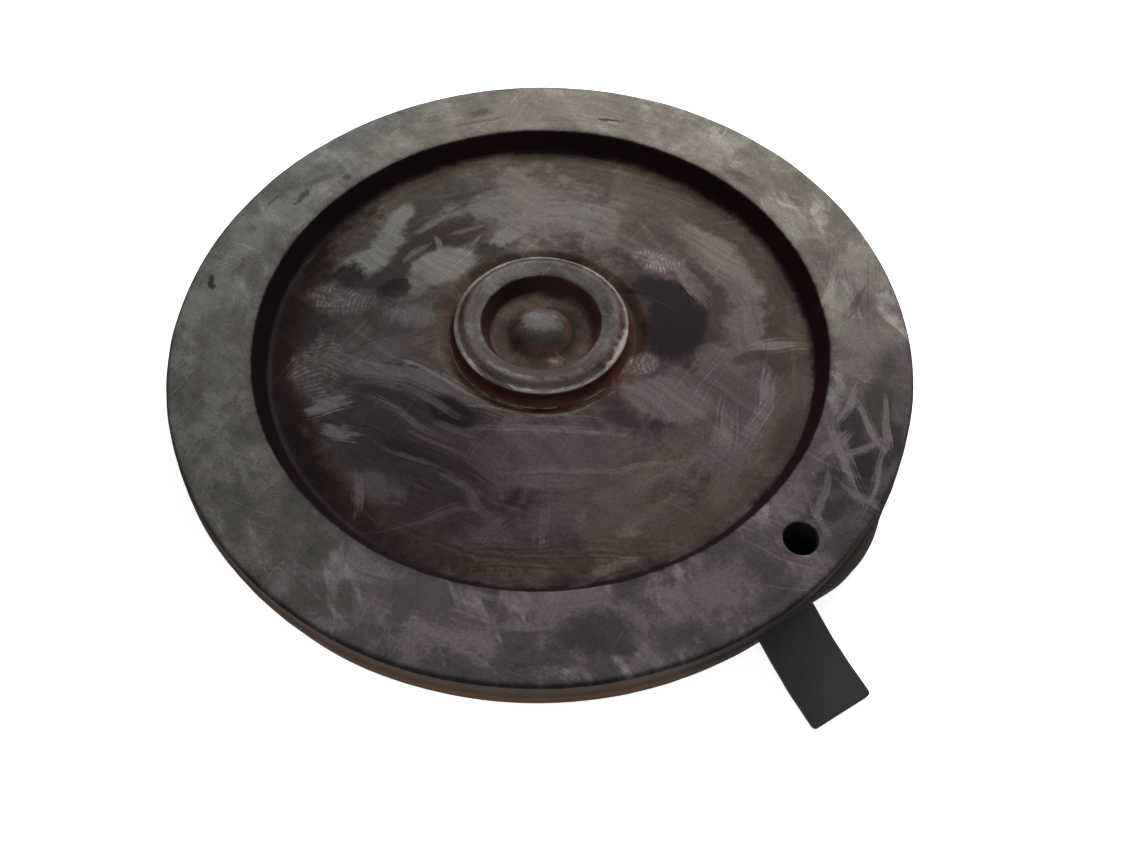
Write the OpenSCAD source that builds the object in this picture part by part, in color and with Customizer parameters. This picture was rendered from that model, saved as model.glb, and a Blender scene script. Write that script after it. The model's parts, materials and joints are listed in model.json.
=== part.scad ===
// Water heater diaphragm: one moulded rubber disc with a thick sealing rim, a thin flexing web,
// a cupped hub in the middle, a water passage through the rim and a locating tab.
// Millimetres. The disc's axis is Z, its underside rests on z = 0 and the water passage is at -Y.

/* [Rim] */
// Outside diameter of the rim at its upper edge
rim_d = 73; // [66:1:90]
// Width of the flat sealing face on top of the rim
rim_w = 8; // [6:0.5:10]
// Thickness of the rim
rim_t = 4.1; // [3.8:0.1:5.5]
// Rounding of the rim's outer edges
rim_edge_r = 0.45; // [0.2:0.05:0.8]
// Height of the parting line on the rim's side
parting_h = 2.05; // [1.6:0.05:2.6]
// How far the lower mould half stands proud of the upper one
mould_step = 0.2; // [0.1:0.05:0.4]

/* [Recess] */
// Lean of the recess wall, measured over its full depth
recess_lean = 1.1; // [0.5:0.1:1.6]
// Rounding of the recess's upper edge
recess_edge_r = 0.35; // [0.2:0.05:0.6]
// Fillet at the foot of the recess wall
recess_root_r = 0.7; // [0.4:0.1:1.2]

/* [Web] */
// Thickness of the flexing web
web_t = 1.4; // [1:0.1:1.8]
// Climb of the web from the rim up to the hub
web_rise = 1.36; // [0.8:0.02:1.6]
// Depth by which the web's underside clears the rim's base
relief_depth = 0.25; // [0.1:0.05:0.5]

/* [Hub] */
// Diameter across the hub's outer bead
bead_d = 17.7; // [16:0.1:20]
// Thickness of the outer bead
bead_t = 0.8; // [0.6:0.1:1]
// Depth of the bead's centre below the rim's top face
bead_drop = 0.5; // [0.3:0.1:0.8]
// Diameter of the hub's crest
crest_d = 15; // [14.4:0.1:15.4]
// Height of the crest above the rim's top face
crest_h = 0.7; // [0.3:0.05:0.9]
// Rounding of the crest
crest_r = 0.6; // [0.3:0.1:0.8]
// Diameter of the groove's bottom round the hub's foot
groove_d = 18.9; // [18.7:0.1:20]
// Depth of that groove below the web's lip
groove_depth = 0.8; // [0.4:0.1:1]
// Diameter of the lip where the web meets the groove
lip_d = 21.2; // [20.6:0.1:24]

/* [Cup] */
// Diameter of the cup's mouth
cup_d = 12; // [11:0.1:12.6]
// Diameter of the cup's floor
cup_floor_d = 10.4; // [9.6:0.1:10.8]
// Thickness of rubber under the cup's floor
cup_floor_t = 2.3; // [1.8:0.1:2.6]
// Fillet between the cup's wall and its floor
cup_root_r = 0.5; // [0.3:0.1:0.7]
// Diameter of the dome in the middle of the cup
dome_d = 6.2; // [5:0.1:6.6]
// Height of the dome above the cup's floor
dome_h = 1.4; // [0.8:0.1:1.8]

/* [Underside] */
// Diameter of the flat boss under the hub
boss_d = 20; // [19.6:0.1:21]
// Spread of the boss's flank from its face to the web
boss_lean = 0.8; // [0.5:0.1:1.2]

/* [Water passage] */
// Diameter of the water passage through the rim
passage_d = 3; // [2:0.1:4]
// Distance of the water passage's axis from the rim's outer side
passage_inset = 3.8; // [3.4:0.1:4.2]
// How far the swelling beside the passage stands out of the rim
swell_out = 0.75; // [0.4:0.05:1]
// Radius of the swelling seen from above
swell_r = 11.7; // [9:0.1:14]
// Angle from the water passage to the middle of the swelling
swell_turn = 4.5; // [0:0.5:12]

/* [Tab] */
// Width of the locating tab
tab_w = 5.7; // [4:0.1:8]
// Length of the tab beyond the rim
tab_l = 8.4; // [5:0.1:12]
// Thickness of the tab
tab_t = 0.8; // [0.5:0.1:1.2]
// Angle from the water passage to the root of the tab
tab_turn = -9.1; // [-20:0.1:-8]
// Sideways set of the tab from the radius through its root
tab_skew = -5; // [-8:0.5:8]
// Rounding of the tab's two outer corners
tab_corner_r = 0.35; // [0.2:0.05:0.8]

/* [Hidden] */
$fn = 96;
rubber = [0.13, 0.13, 0.135];
passage_angle = -90;
passage_r = rim_d / 2 - passage_inset;
embed = 1;
over = 1;

rim_r = rim_d / 2;
base_r = rim_r + mould_step;
recess_r = rim_r - rim_w;
recess_depth = rim_t - relief_depth - web_t;
recess_floor_r = recess_r - recess_lean;
recess_floor_z = rim_t - recess_depth;

lip_r = lip_d / 2;
lip_z = recess_floor_z + web_rise;
groove_r = groove_d / 2;
groove_z = lip_z - groove_depth;
lip_round = 0.6;
groove_round = 0.35;

bead_r = bead_t / 2;
bead_at = [bead_d / 2 - bead_r, rim_t - bead_drop];
crest_z = rim_t + crest_h;
mouth_round = 0.3;
dome_r = dome_d / 2;
dome_ball_r = (dome_r * dome_r + dome_h * dome_h) / (2 * dome_h);

boss_r = boss_d / 2;
boss_round = 0.4;

tab_sag = parting_h - tab_t / 2;
tab_bend_r = (tab_l * tab_l + tab_sag * tab_sag) / (2 * tab_sag);
tab_root_angle = passage_angle + tab_turn;
swell_angle = passage_angle + swell_turn;

// Direction from point a towards point b, one unit long
function heading(a, b) = (b - a) / norm(b - a);

// Position of a corner given as [radius from the axis, height, rounding]
function place(corner) = [corner[0], corner[1]];

// Corner before or after number i on a closed outline
function neighbour(corners, i, step) = place(corners[(i + step + len(corners)) % len(corners)]);

// Half of the angle between the two edges that meet at corner i
function half_angle(corners, i) =
    let (p = place(corners[i]))
    acos(heading(p, neighbour(corners, i, -1)) * heading(p, neighbour(corners, i, 1))) / 2;

// True where the outline, drawn anticlockwise, turns outwards at corner i
function convex(corners, i) =
    let (p = place(corners[i]))
    cross(p - neighbour(corners, i, -1), neighbour(corners, i, 1) - p) > 0;

// The corner itself where it is sharp, or else the two points where its rounding begins and ends
function cut_corner(corners, i) =
    let (p = place(corners[i]), r = corners[i][2], run = r / tan(half_angle(corners, i)))
    r == 0 ? [p] : [for (step = [-1, 1]) p + run * heading(p, neighbour(corners, i, step))];

// Centre of the rounding at corner i
function round_centre(corners, i) =
    let (p = place(corners[i]),
         along = heading(p, neighbour(corners, i, -1)) + heading(p, neighbour(corners, i, 1)))
    p + along / norm(along) * corners[i][2] / sin(half_angle(corners, i));

// Closed outline with true arcs at its rounded corners
module rounded_outline(corners) {
    rounded = [for (i = [0:len(corners) - 1]) if (corners[i][2] > 0) i];
    difference() {
        union() {
            polygon([for (i = [0:len(corners) - 1]) each cut_corner(corners, i)]);
            for (i = rounded)
                if (convex(corners, i))
                    translate(round_centre(corners, i)) circle(r = corners[i][2]);
        }
        for (i = rounded)
            if (!convex(corners, i))
                translate(round_centre(corners, i)) circle(r = corners[i][2]);
    }
}

// Half section of the disc, from the axis outwards along the underside and back along the top
module disc_section() {
    rounded_outline([
        [0, 0, 0],
        [boss_r, 0, boss_round],
        [boss_r + boss_lean, relief_depth + web_rise, boss_round],
        [recess_floor_r - relief_depth, relief_depth, 0],
        [recess_floor_r, 0, 0],
        [base_r, 0, rim_edge_r],
        [base_r, parting_h - mould_step / 2, 0],
        [rim_r, parting_h + mould_step / 2, 0],
        [rim_r, rim_t, rim_edge_r],
        [recess_r, rim_t, recess_edge_r],
        [recess_floor_r, recess_floor_z, recess_root_r],
        [lip_r, lip_z, lip_round],
        [groove_r, groove_z, groove_round],
        [bead_at[0] + bead_r / 2, bead_at[1], 0],
        [bead_at[0] - bead_r / 2, bead_at[1], 0],
        [crest_d / 2, crest_z, crest_r],
        [cup_d / 2, rim_t, mouth_round],
        [cup_floor_d / 2, cup_floor_t, cup_root_r],
        [0, cup_floor_t, 0]
    ]);
    translate(bead_at) circle(r = bead_r);
    dome_section();
}

// Half section of the dome in the middle of the cup
module dome_section() {
    intersection() {
        translate([0, cup_floor_t + dome_h - dome_ball_r]) circle(r = dome_ball_r);
        translate([0, cup_floor_t - embed]) square([dome_r + embed, dome_h + 2 * embed]);
    }
}

// Rim, web, hub and boss, turned about the disc's axis
module disc() {
    rotate_extrude() disc_section();
}

// Crescent that swells the lower half of the rim's side beside the water passage
module swelling() {
    difference() {
        rotate([0, 0, swell_angle])
            translate([base_r + swell_out - swell_r, 0, 0])
                rotate_extrude()
                    rounded_outline([
                        [0, 0, 0],
                        [swell_r, 0, rim_edge_r],
                        [swell_r, parting_h - mould_step / 2, rim_edge_r],
                        [0, parting_h - mould_step / 2, 0]
                    ]);
        translate([0, 0, -over]) cylinder(r = rim_r - embed, h = rim_t + 2 * over);
    }
}

// Locating tab: leaves the rim at its parting line and bends down until its end lies flat
module tab() {
    rotate([0, 0, tab_root_angle])
        translate([rim_r, 0, 0])
            rotate([0, 0, tab_skew])
                intersection() {
                    translate([0, tab_w / 2, 0])
                        rotate([90, 0, 0])
                            linear_extrude(height = tab_w) tab_profile();
                    linear_extrude(height = rim_t) tab_outline();
                }
}

// Tab seen from its side: a strip bent to one radius, tangent to the base plane at its tip
module tab_profile() {
    intersection() {
        translate([tab_l, tab_bend_r]) difference() {
            circle(r = tab_bend_r);
            circle(r = tab_bend_r - tab_t);
        }
        translate([-embed, 0]) square([tab_l + embed, rim_t]);
    }
}

// Tab seen from above, with rounded outer corners
module tab_outline() {
    rounded_outline([
        [-embed, -tab_w / 2, 0],
        [tab_l, -tab_w / 2, tab_corner_r],
        [tab_l, tab_w / 2, tab_corner_r],
        [-embed, tab_w / 2, 0]
    ]);
}

// Water passage through the rim, from above the top face to below the base
module passage() {
    rotate([0, 0, passage_angle])
        translate([passage_r, 0, -over])
            cylinder(d = passage_d, h = rim_t + 2 * over);
}

module diaphragm() {
    color(rubber)
        difference() {
            union() {
                disc();
                swelling();
                tab();
            }
            passage();
        }
}

diaphragm();
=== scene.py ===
"""Water heater diaphragm: one moulded rubber disc with a rim, a thin web, a cupped hub and a tab.

The disc is turned from its half section, swollen beside its water passage, softened like pressed
rubber, joined to its bent tab and bored. Its finish is black rubber under a wiped film of chalk:
the film's thickness follows the radius, and the smears, bare patches, finger marks and strokes
are laid over it one by one. Lengths are in millimetres until the piece is dressed, and places on
the film are in disc radii, as the camera sees the disc from above.
"""

import json
import logging
import math
from collections.abc import Iterable, Sequence
from dataclasses import dataclass
from enum import Enum

import bmesh
import bpy
from mathutils import Euler, Matrix, Vector, noise


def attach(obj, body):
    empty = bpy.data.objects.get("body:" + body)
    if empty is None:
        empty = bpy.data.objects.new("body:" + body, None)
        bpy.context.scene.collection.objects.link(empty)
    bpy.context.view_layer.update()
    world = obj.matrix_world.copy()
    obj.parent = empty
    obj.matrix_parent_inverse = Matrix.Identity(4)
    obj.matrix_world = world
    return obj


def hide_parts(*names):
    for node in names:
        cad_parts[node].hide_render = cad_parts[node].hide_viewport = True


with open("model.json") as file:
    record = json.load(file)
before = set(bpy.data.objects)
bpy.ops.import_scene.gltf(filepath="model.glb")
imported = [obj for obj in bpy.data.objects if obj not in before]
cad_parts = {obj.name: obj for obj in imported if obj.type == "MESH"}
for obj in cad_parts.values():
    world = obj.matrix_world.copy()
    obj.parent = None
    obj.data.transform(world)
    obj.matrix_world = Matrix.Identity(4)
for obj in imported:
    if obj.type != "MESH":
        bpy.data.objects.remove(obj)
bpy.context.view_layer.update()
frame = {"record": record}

LOG = logging.getLogger("diaphragm")
MM = 0.001
FULL_TURN = 2 * math.pi
SAME_PLACE = 1e-4  # corners closer than this become one
NO_LENGTH = 1e-5  # edges shorter than this are taken out
CAMERA_TURN = math.radians(44)  # from the part's axes to the camera's right and away
FACE_RADIUS = 36.5  # outer radius of the sealing face, which the marks are measured in
WEB_TO_RIM = (0.77, 0.78)  # in disc radii, at the foot of the recess wall
FACE_TO_SIDE = (0.985, 0.990)  # in disc radii, on the rounding of the rim's upper edge
SKIN_DEPTH = 0.00008  # relief of the rubber's skin, in metres
FLATTENED = 1e6  # size of a mark in the direction that it doesn't look at
NOISE_RANGE = (0.3, 0.7)  # where most values of a noise lie
WHITE = (1, 1, 1, 1)

Socket = bpy.types.NodeSocket
Number = float | Socket
Triple = tuple[float, float, float]
Rgb = tuple[float, float, float]


class Joinery(Enum):
    """How two solids are made one."""

    WELD = "UNION"
    BORE = "DIFFERENCE"


class Zone(Enum):
    """Zones of the surface, numbered as their finishes are."""

    RIM = 0
    WEB = 1
    HUB = 2
    BARE = 3
    PASSAGE = 4


class Brush(Enum):
    """How a mark was made in the film.

    A blot is ragged and a patch smoother. A wipe is drawn out in hairs, a finger leaves its
    ridges, and an arc runs round the disc's axis.
    """

    BLOT = "blot"
    PATCH = "patch"
    WIPE = "wipe"
    FINGER = "finger"
    ARC = "arc"


@dataclass(frozen=True)
class Corner:
    """A corner of a half section: distance from the axis, height, rounding and its steps."""

    radius: float
    height: float
    rounding: float = 0.0
    steps: int = 4


@dataclass(frozen=True)
class Mark:
    """One mark in the film.

    Args:
        x: Place to the camera's right of the disc's axis, in disc radii; for an arc, its radius.
        y: Place away from the camera, in disc radii; for an arc, its middle angle in degrees.
        long: Half its length, in disc radii; for an arc, half the angle it spans in degrees.
        wide: Half its width, in disc radii.
        turn: Direction of its length in degrees, anticlockwise from the camera's right.
        film: Film that it leaves, from 0, bare rubber, to 1, thick chalk.
        edge: Softness of its edge, from 0, crisp, to 1, fading from the middle.
        cover: How fully it covers what lay there before.
        brush: How it was made.
        pitch: Distance between finger ridges, in disc radii.
    """

    x: float
    y: float
    long: float
    wide: float
    turn: float = 0.0
    film: float = 0.8
    edge: float = 0.45
    cover: float = 0.9
    brush: Brush = Brush.BLOT
    pitch: float = 0.0135


def draw_section(bm: bmesh.types.BMesh, corners: Sequence[Corner]) -> None:
    """Draws a half section as a chain of edges over the X axis and rounds its corners.

    Args:
        bm: The mesh to draw in.
        corners: The section's corners in order.
    """
    chain = [bm.verts.new((c.radius, 0.0, c.height)) for c in corners]
    for here, onward in zip(chain, chain[1:]):
        bm.edges.new((here, onward))
    for vertex, corner in zip(chain, corners):
        if corner.rounding > 0:
            back, on = (e.other_vert(vertex).co - vertex.co for e in vertex.link_edges)
            run = corner.rounding / math.tan(back.angle(on) / 2)
            bmesh.ops.bevel(bm, geom=[vertex], offset=run, offset_type="OFFSET",
                            segments=corner.steps, profile=0.5, affect="VERTICES",
                            material=-1, clamp_overlap=False)


def divide_runs(bm: bmesh.types.BMesh, spacing: float, hidden_spacing: float,
                hidden_below: float) -> None:
    """Divides the long edges of a section, so that the turned face can bend.

    Args:
        bm: The mesh that holds the section.
        spacing: Greatest edge length on the side that shows.
        hidden_spacing: Greatest edge length on the underside.
        hidden_below: Height under which both ends of an edge count as underside.
    """
    for edge in list(bm.edges):
        below = all(v.co.z < hidden_below for v in edge.verts)
        cuts = int(edge.calc_length() / (hidden_spacing if below else spacing))
        if cuts:
            bmesh.ops.subdivide_edges(bm, edges=[edge], cuts=cuts)


def turn_section(bm: bmesh.types.BMesh, steps: int, sectors: int) -> None:
    """Spins the section in a mesh into one sector, and that once round the Z axis.

    Args:
        bm: The mesh that holds the section.
        steps: Number of steps in one sector.
        sectors: Number of sectors in the full turn.
    """
    sector = FULL_TURN / sectors
    bmesh.ops.spin(bm, geom=bm.verts[:] + bm.edges[:], cent=(0, 0, 0), axis=(0, 0, 1),
                   angle=sector, steps=steps, use_merge=False, use_duplicate=False)
    bmesh.ops.spin(bm, geom=bm.verts[:] + bm.edges[:] + bm.faces[:], cent=(0, 0, 0),
                   axis=(0, 0, 1), angle=FULL_TURN - sector, steps=sectors - 1,
                   use_merge=False, use_duplicate=True)
    bmesh.ops.remove_doubles(bm, verts=bm.verts, dist=SAME_PLACE)
    bmesh.ops.dissolve_degenerate(bm, edges=bm.edges, dist=NO_LENGTH)
    bmesh.ops.recalc_face_normals(bm, faces=bm.faces)


def stand_up(bm: bmesh.types.BMesh, name: str) -> bpy.types.Object:
    """Turns a mesh under work into an object of the scene and frees it.

    Args:
        bm: The mesh under work.
        name: Name of the object.

    Returns:
        The new object, at the origin.
    """
    mesh = bpy.data.meshes.new(name)
    bm.to_mesh(mesh)
    bm.free()
    piece = bpy.data.objects.new(name, mesh)
    bpy.context.scene.collection.objects.link(piece)
    return piece


def join(piece: bpy.types.Object, tool: bpy.types.Object, joinery: Joinery) -> None:
    """Welds a second solid to a piece, or bores the piece with it, and removes the second.

    Args:
        piece: The solid that stays.
        tool: The solid that is used up.
        joinery: Weld or bore.
    """
    cut = piece.modifiers.new(joinery.name.lower(), "BOOLEAN")
    cut.operation = joinery.value
    cut.solver = "MANIFOLD"
    cut.object = tool
    depsgraph = bpy.context.evaluated_depsgraph_get()
    mesh = bpy.data.meshes.new_from_object(piece.evaluated_get(depsgraph))
    piece.modifiers.clear()
    piece.data = mesh
    bpy.data.objects.remove(tool)


@dataclass
class WaterPassage:
    """Round passage through the rim, with softly rounded mouths.

    Args:
        radius: Its radius.
        centre: Its middle, half-way through the rim.
        length: Its length through the rim.
        mouth_round: Rounding of its mouths.
        flare: Width of a mouth beyond the radius, in roundings.
        lift: Rise of a mouth over that width.
        over: How far the cutter reaches past the rim.
        margin: How far off its wall a place still belongs to it.
        steps: Steps in each quarter turn.
    """

    radius: float
    centre: Vector
    length: float
    mouth_round: float = 0.28
    flare: float = 1.6
    lift: float = 0.05
    over: float = 1.0
    margin: float = 0.05
    steps: int = 18

    @classmethod
    def from_record(cls, record: dict) -> "WaterPassage":
        """Reads the passage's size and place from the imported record.

        Args:
            record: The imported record.

        Returns:
            The passage.
        """
        mount = next(m for m in record["mounts"] if m["name"] == "water_passage")
        centre = Vector(mount["pos_m"]) / MM
        return cls(mount["dims"]["r_mm"], centre, mount["dims"]["length_mm"])

    def cutter(self) -> bpy.types.Object:
        """Makes the solid that bores the passage.

        Returns:
            The solid, at its place.
        """
        half = self.length / 2
        end = half + self.over
        flare = self.radius + self.flare * self.mouth_round
        corners = [
            Corner(0, -end), Corner(flare, -end), Corner(flare, -half - self.lift),
            Corner(self.radius, -half, self.mouth_round, 5),
            Corner(self.radius, half, self.mouth_round, 5),
            Corner(flare, half + self.lift), Corner(flare, end), Corner(0, end),
        ]
        bm = bmesh.new()
        draw_section(bm, corners)
        turn_section(bm, self.steps, sectors=4)
        bmesh.ops.translate(bm, vec=self.centre, verts=bm.verts)
        return stand_up(bm, "passage_cutter")

    def holds(self, place: Vector) -> bool:
        """Tells whether a place lies in the passage or on its wall."""
        return (place - self.centre).xy.length < self.radius + self.margin


@dataclass
class Swelling:
    """Crescent that swells the lower half of the rim's side beside the passage.

    Args:
        middle_angle: Direction of its middle from the disc's axis.
        round_radius: Its own radius, seen from above.
        stands_out: How far it stands out of the side.
        fade: Softness of its two ends.
        half_span: Angle from its middle beyond which nothing is swollen.
        depth: How far inside the side the swelling still moves the rubber.
    """

    middle_angle: float = math.radians(-85.5)
    round_radius: float = 11.7
    stands_out: float = 0.75
    fade: float = 0.18
    half_span: float = 0.4
    depth: float = 0.7

    def reach(self, angle: float, side_radius: float) -> float:
        """Works out how far the side stands out at an angle.

        Args:
            angle: Angle round the disc's axis.
            side_radius: Radius of the side without the swelling.

        Returns:
            The distance, from 0 to the swelling's full height.
        """
        turn = math.remainder(angle - self.middle_angle, FULL_TURN)
        if abs(turn) > self.half_span:
            return 0.0
        offset = side_radius + self.stands_out - self.round_radius
        across = self.round_radius ** 2 - (offset * math.sin(turn)) ** 2
        if across <= 0:
            return 0.0
        out = offset * math.cos(turn) + math.sqrt(across) - side_radius
        softened = out + math.hypot(out, self.fade) - self.fade ** 2 / self.stands_out
        return softened / 2

    def press_out(self, bm: bmesh.types.BMesh, side_radius: float, top: float) -> None:
        """Moves the lower part of the side outwards.

        Args:
            bm: The disc's mesh.
            side_radius: Radius of the lower side.
            top: Height at which the swelling ends.
        """
        for vertex in bm.verts:
            radius = vertex.co.xy.length
            if vertex.co.z < top and radius > side_radius - self.depth:
                out = max(0.0, self.reach(math.atan2(vertex.co.y, vertex.co.x), side_radius))
                vertex.co.x *= 1 + out / radius
                vertex.co.y *= 1 + out / radius


@dataclass
class LocatingTab:
    """Flat strip that leaves the rim at the parting line and bends down to the table.

    Args:
        width: Its width.
        length: Its length beyond the rim.
        thickness: Its thickness.
        root_height: Height of its underside at the rim.
        root_angle: Direction of its root from the disc's axis.
        skew: Turn of its length from that direction.
        corner_round: Rounding of its two outer corners, seen from above.
        edge_round: Rounding of its long edges.
        edge_angle: Angle between faces above which an edge is rounded.
        embed: How far it reaches into the rim.
        slices: Slices along its length, so that it can bend.
        trim: Unevenness of its hand-trimmed edges.
        trim_waves: Waves of that unevenness in one millimetre.
        film_reach: How far the rim's film runs on over its root.
        margin: How far off its long edges a place still belongs to it.
    """

    width: float = 5.7
    length: float = 8.4
    thickness: float = 0.8
    root_height: float = 1.65
    root_angle: float = math.radians(-99.1)
    skew: float = math.radians(-5)
    corner_round: float = 0.35
    edge_round: float = 0.09
    edge_angle: float = math.radians(50)
    embed: float = 1.0
    slices: int = 26
    trim: float = 0.05
    trim_waves: float = 0.5
    film_reach: float = 0.22
    margin: float = 0.12

    def flat_strip(self) -> bmesh.types.BMesh:
        """Makes the strip before it is bent.

        Returns:
            The strip, with its length along X and its root at the origin.
        """
        bm = bmesh.new()
        bmesh.ops.create_cube(bm, size=1)
        full = self.length + self.embed
        bmesh.ops.scale(bm, vec=(full, self.width, self.thickness), verts=bm.verts)
        bmesh.ops.translate(bm, vec=(full / 2 - self.embed, 0, self.thickness / 2), verts=bm.verts)
        tip = [e for e in bm.edges if all(v.co.x > 0 for v in e.verts)
               and abs(e.verts[0].co.z - e.verts[1].co.z) > self.thickness / 2]
        bmesh.ops.bevel(bm, geom=tip, offset=self.corner_round, offset_type="OFFSET", segments=5,
                        profile=0.5, affect="EDGES", material=-1)
        sharp = [e for e in bm.edges if e.calc_face_angle(0) > self.edge_angle]
        bmesh.ops.bevel(bm, geom=sharp, offset=self.edge_round, offset_type="OFFSET", segments=2,
                        profile=0.5, affect="EDGES", material=-1)
        for number in range(1, self.slices):
            place = full * number / self.slices - self.embed
            bmesh.ops.bisect_plane(bm, geom=bm.verts[:] + bm.edges[:] + bm.faces[:],
                                   plane_co=(place, 0, 0), plane_no=(1, 0, 0))
        return bm

    def bend(self, bm: bmesh.types.BMesh) -> None:
        """Bends the strip to one radius, level at its tip, with a hand-trimmed edge.

        Args:
            bm: The flat strip.
        """
        sag = self.root_height
        radius = (self.length ** 2 + sag ** 2) / (2 * sag)
        for vertex in bm.verts:
            along, across, up = vertex.co
            edge = math.copysign(3, across)  # each long edge has its own unevenness
            across += self.trim * noise.noise(Vector((along * self.trim_waves, edge, 0)))
            angle = (self.length - along) / radius
            vertex.co = (self.length - (radius - up) * math.sin(angle), across,
                         radius - (radius - up) * math.cos(angle))

    def holds(self, place: Vector) -> bool:
        """Tells whether a place lies on the tab, outside the rim.

        Args:
            place: The place.

        Returns:
            True where it does.
        """
        own = Matrix.Rotation(-self.root_angle, 3, "Z") @ place - Vector((FACE_RADIUS, 0, 0))
        own.rotate(Euler((0, 0, -self.skew)))
        return own.x > self.film_reach and abs(own.y) < self.width / 2 + self.margin

    def build(self) -> bpy.types.Object:
        """Makes the bent strip and sets it at its place on the rim.

        Returns:
            The tab, which reaches a little into the rim.
        """
        bm = self.flat_strip()
        self.bend(bm)
        skewed = Matrix.Rotation(self.skew, 3, "Z")
        turned = Matrix.Rotation(self.root_angle, 3, "Z")
        bmesh.ops.rotate(bm, cent=(0, 0, 0), matrix=skewed, verts=bm.verts)
        bmesh.ops.translate(bm, vec=(FACE_RADIUS, 0, 0), verts=bm.verts)
        bmesh.ops.rotate(bm, cent=(0, 0, 0), matrix=turned, verts=bm.verts)
        bmesh.ops.recalc_face_normals(bm, faces=bm.faces)
        return stand_up(bm, "tab")


@dataclass(frozen=True)
class Unevenness:
    """How uneven pressed rubber is, in broad waves and in fine ones.

    Args:
        reach: Height of the broad waves.
        waves: Broad waves in one millimetre.
        fine_reach: Height of the fine waves.
        fine_waves: Fine waves in one millimetre.
    """

    reach: float
    waves: float
    fine_reach: float
    fine_waves: float


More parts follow.
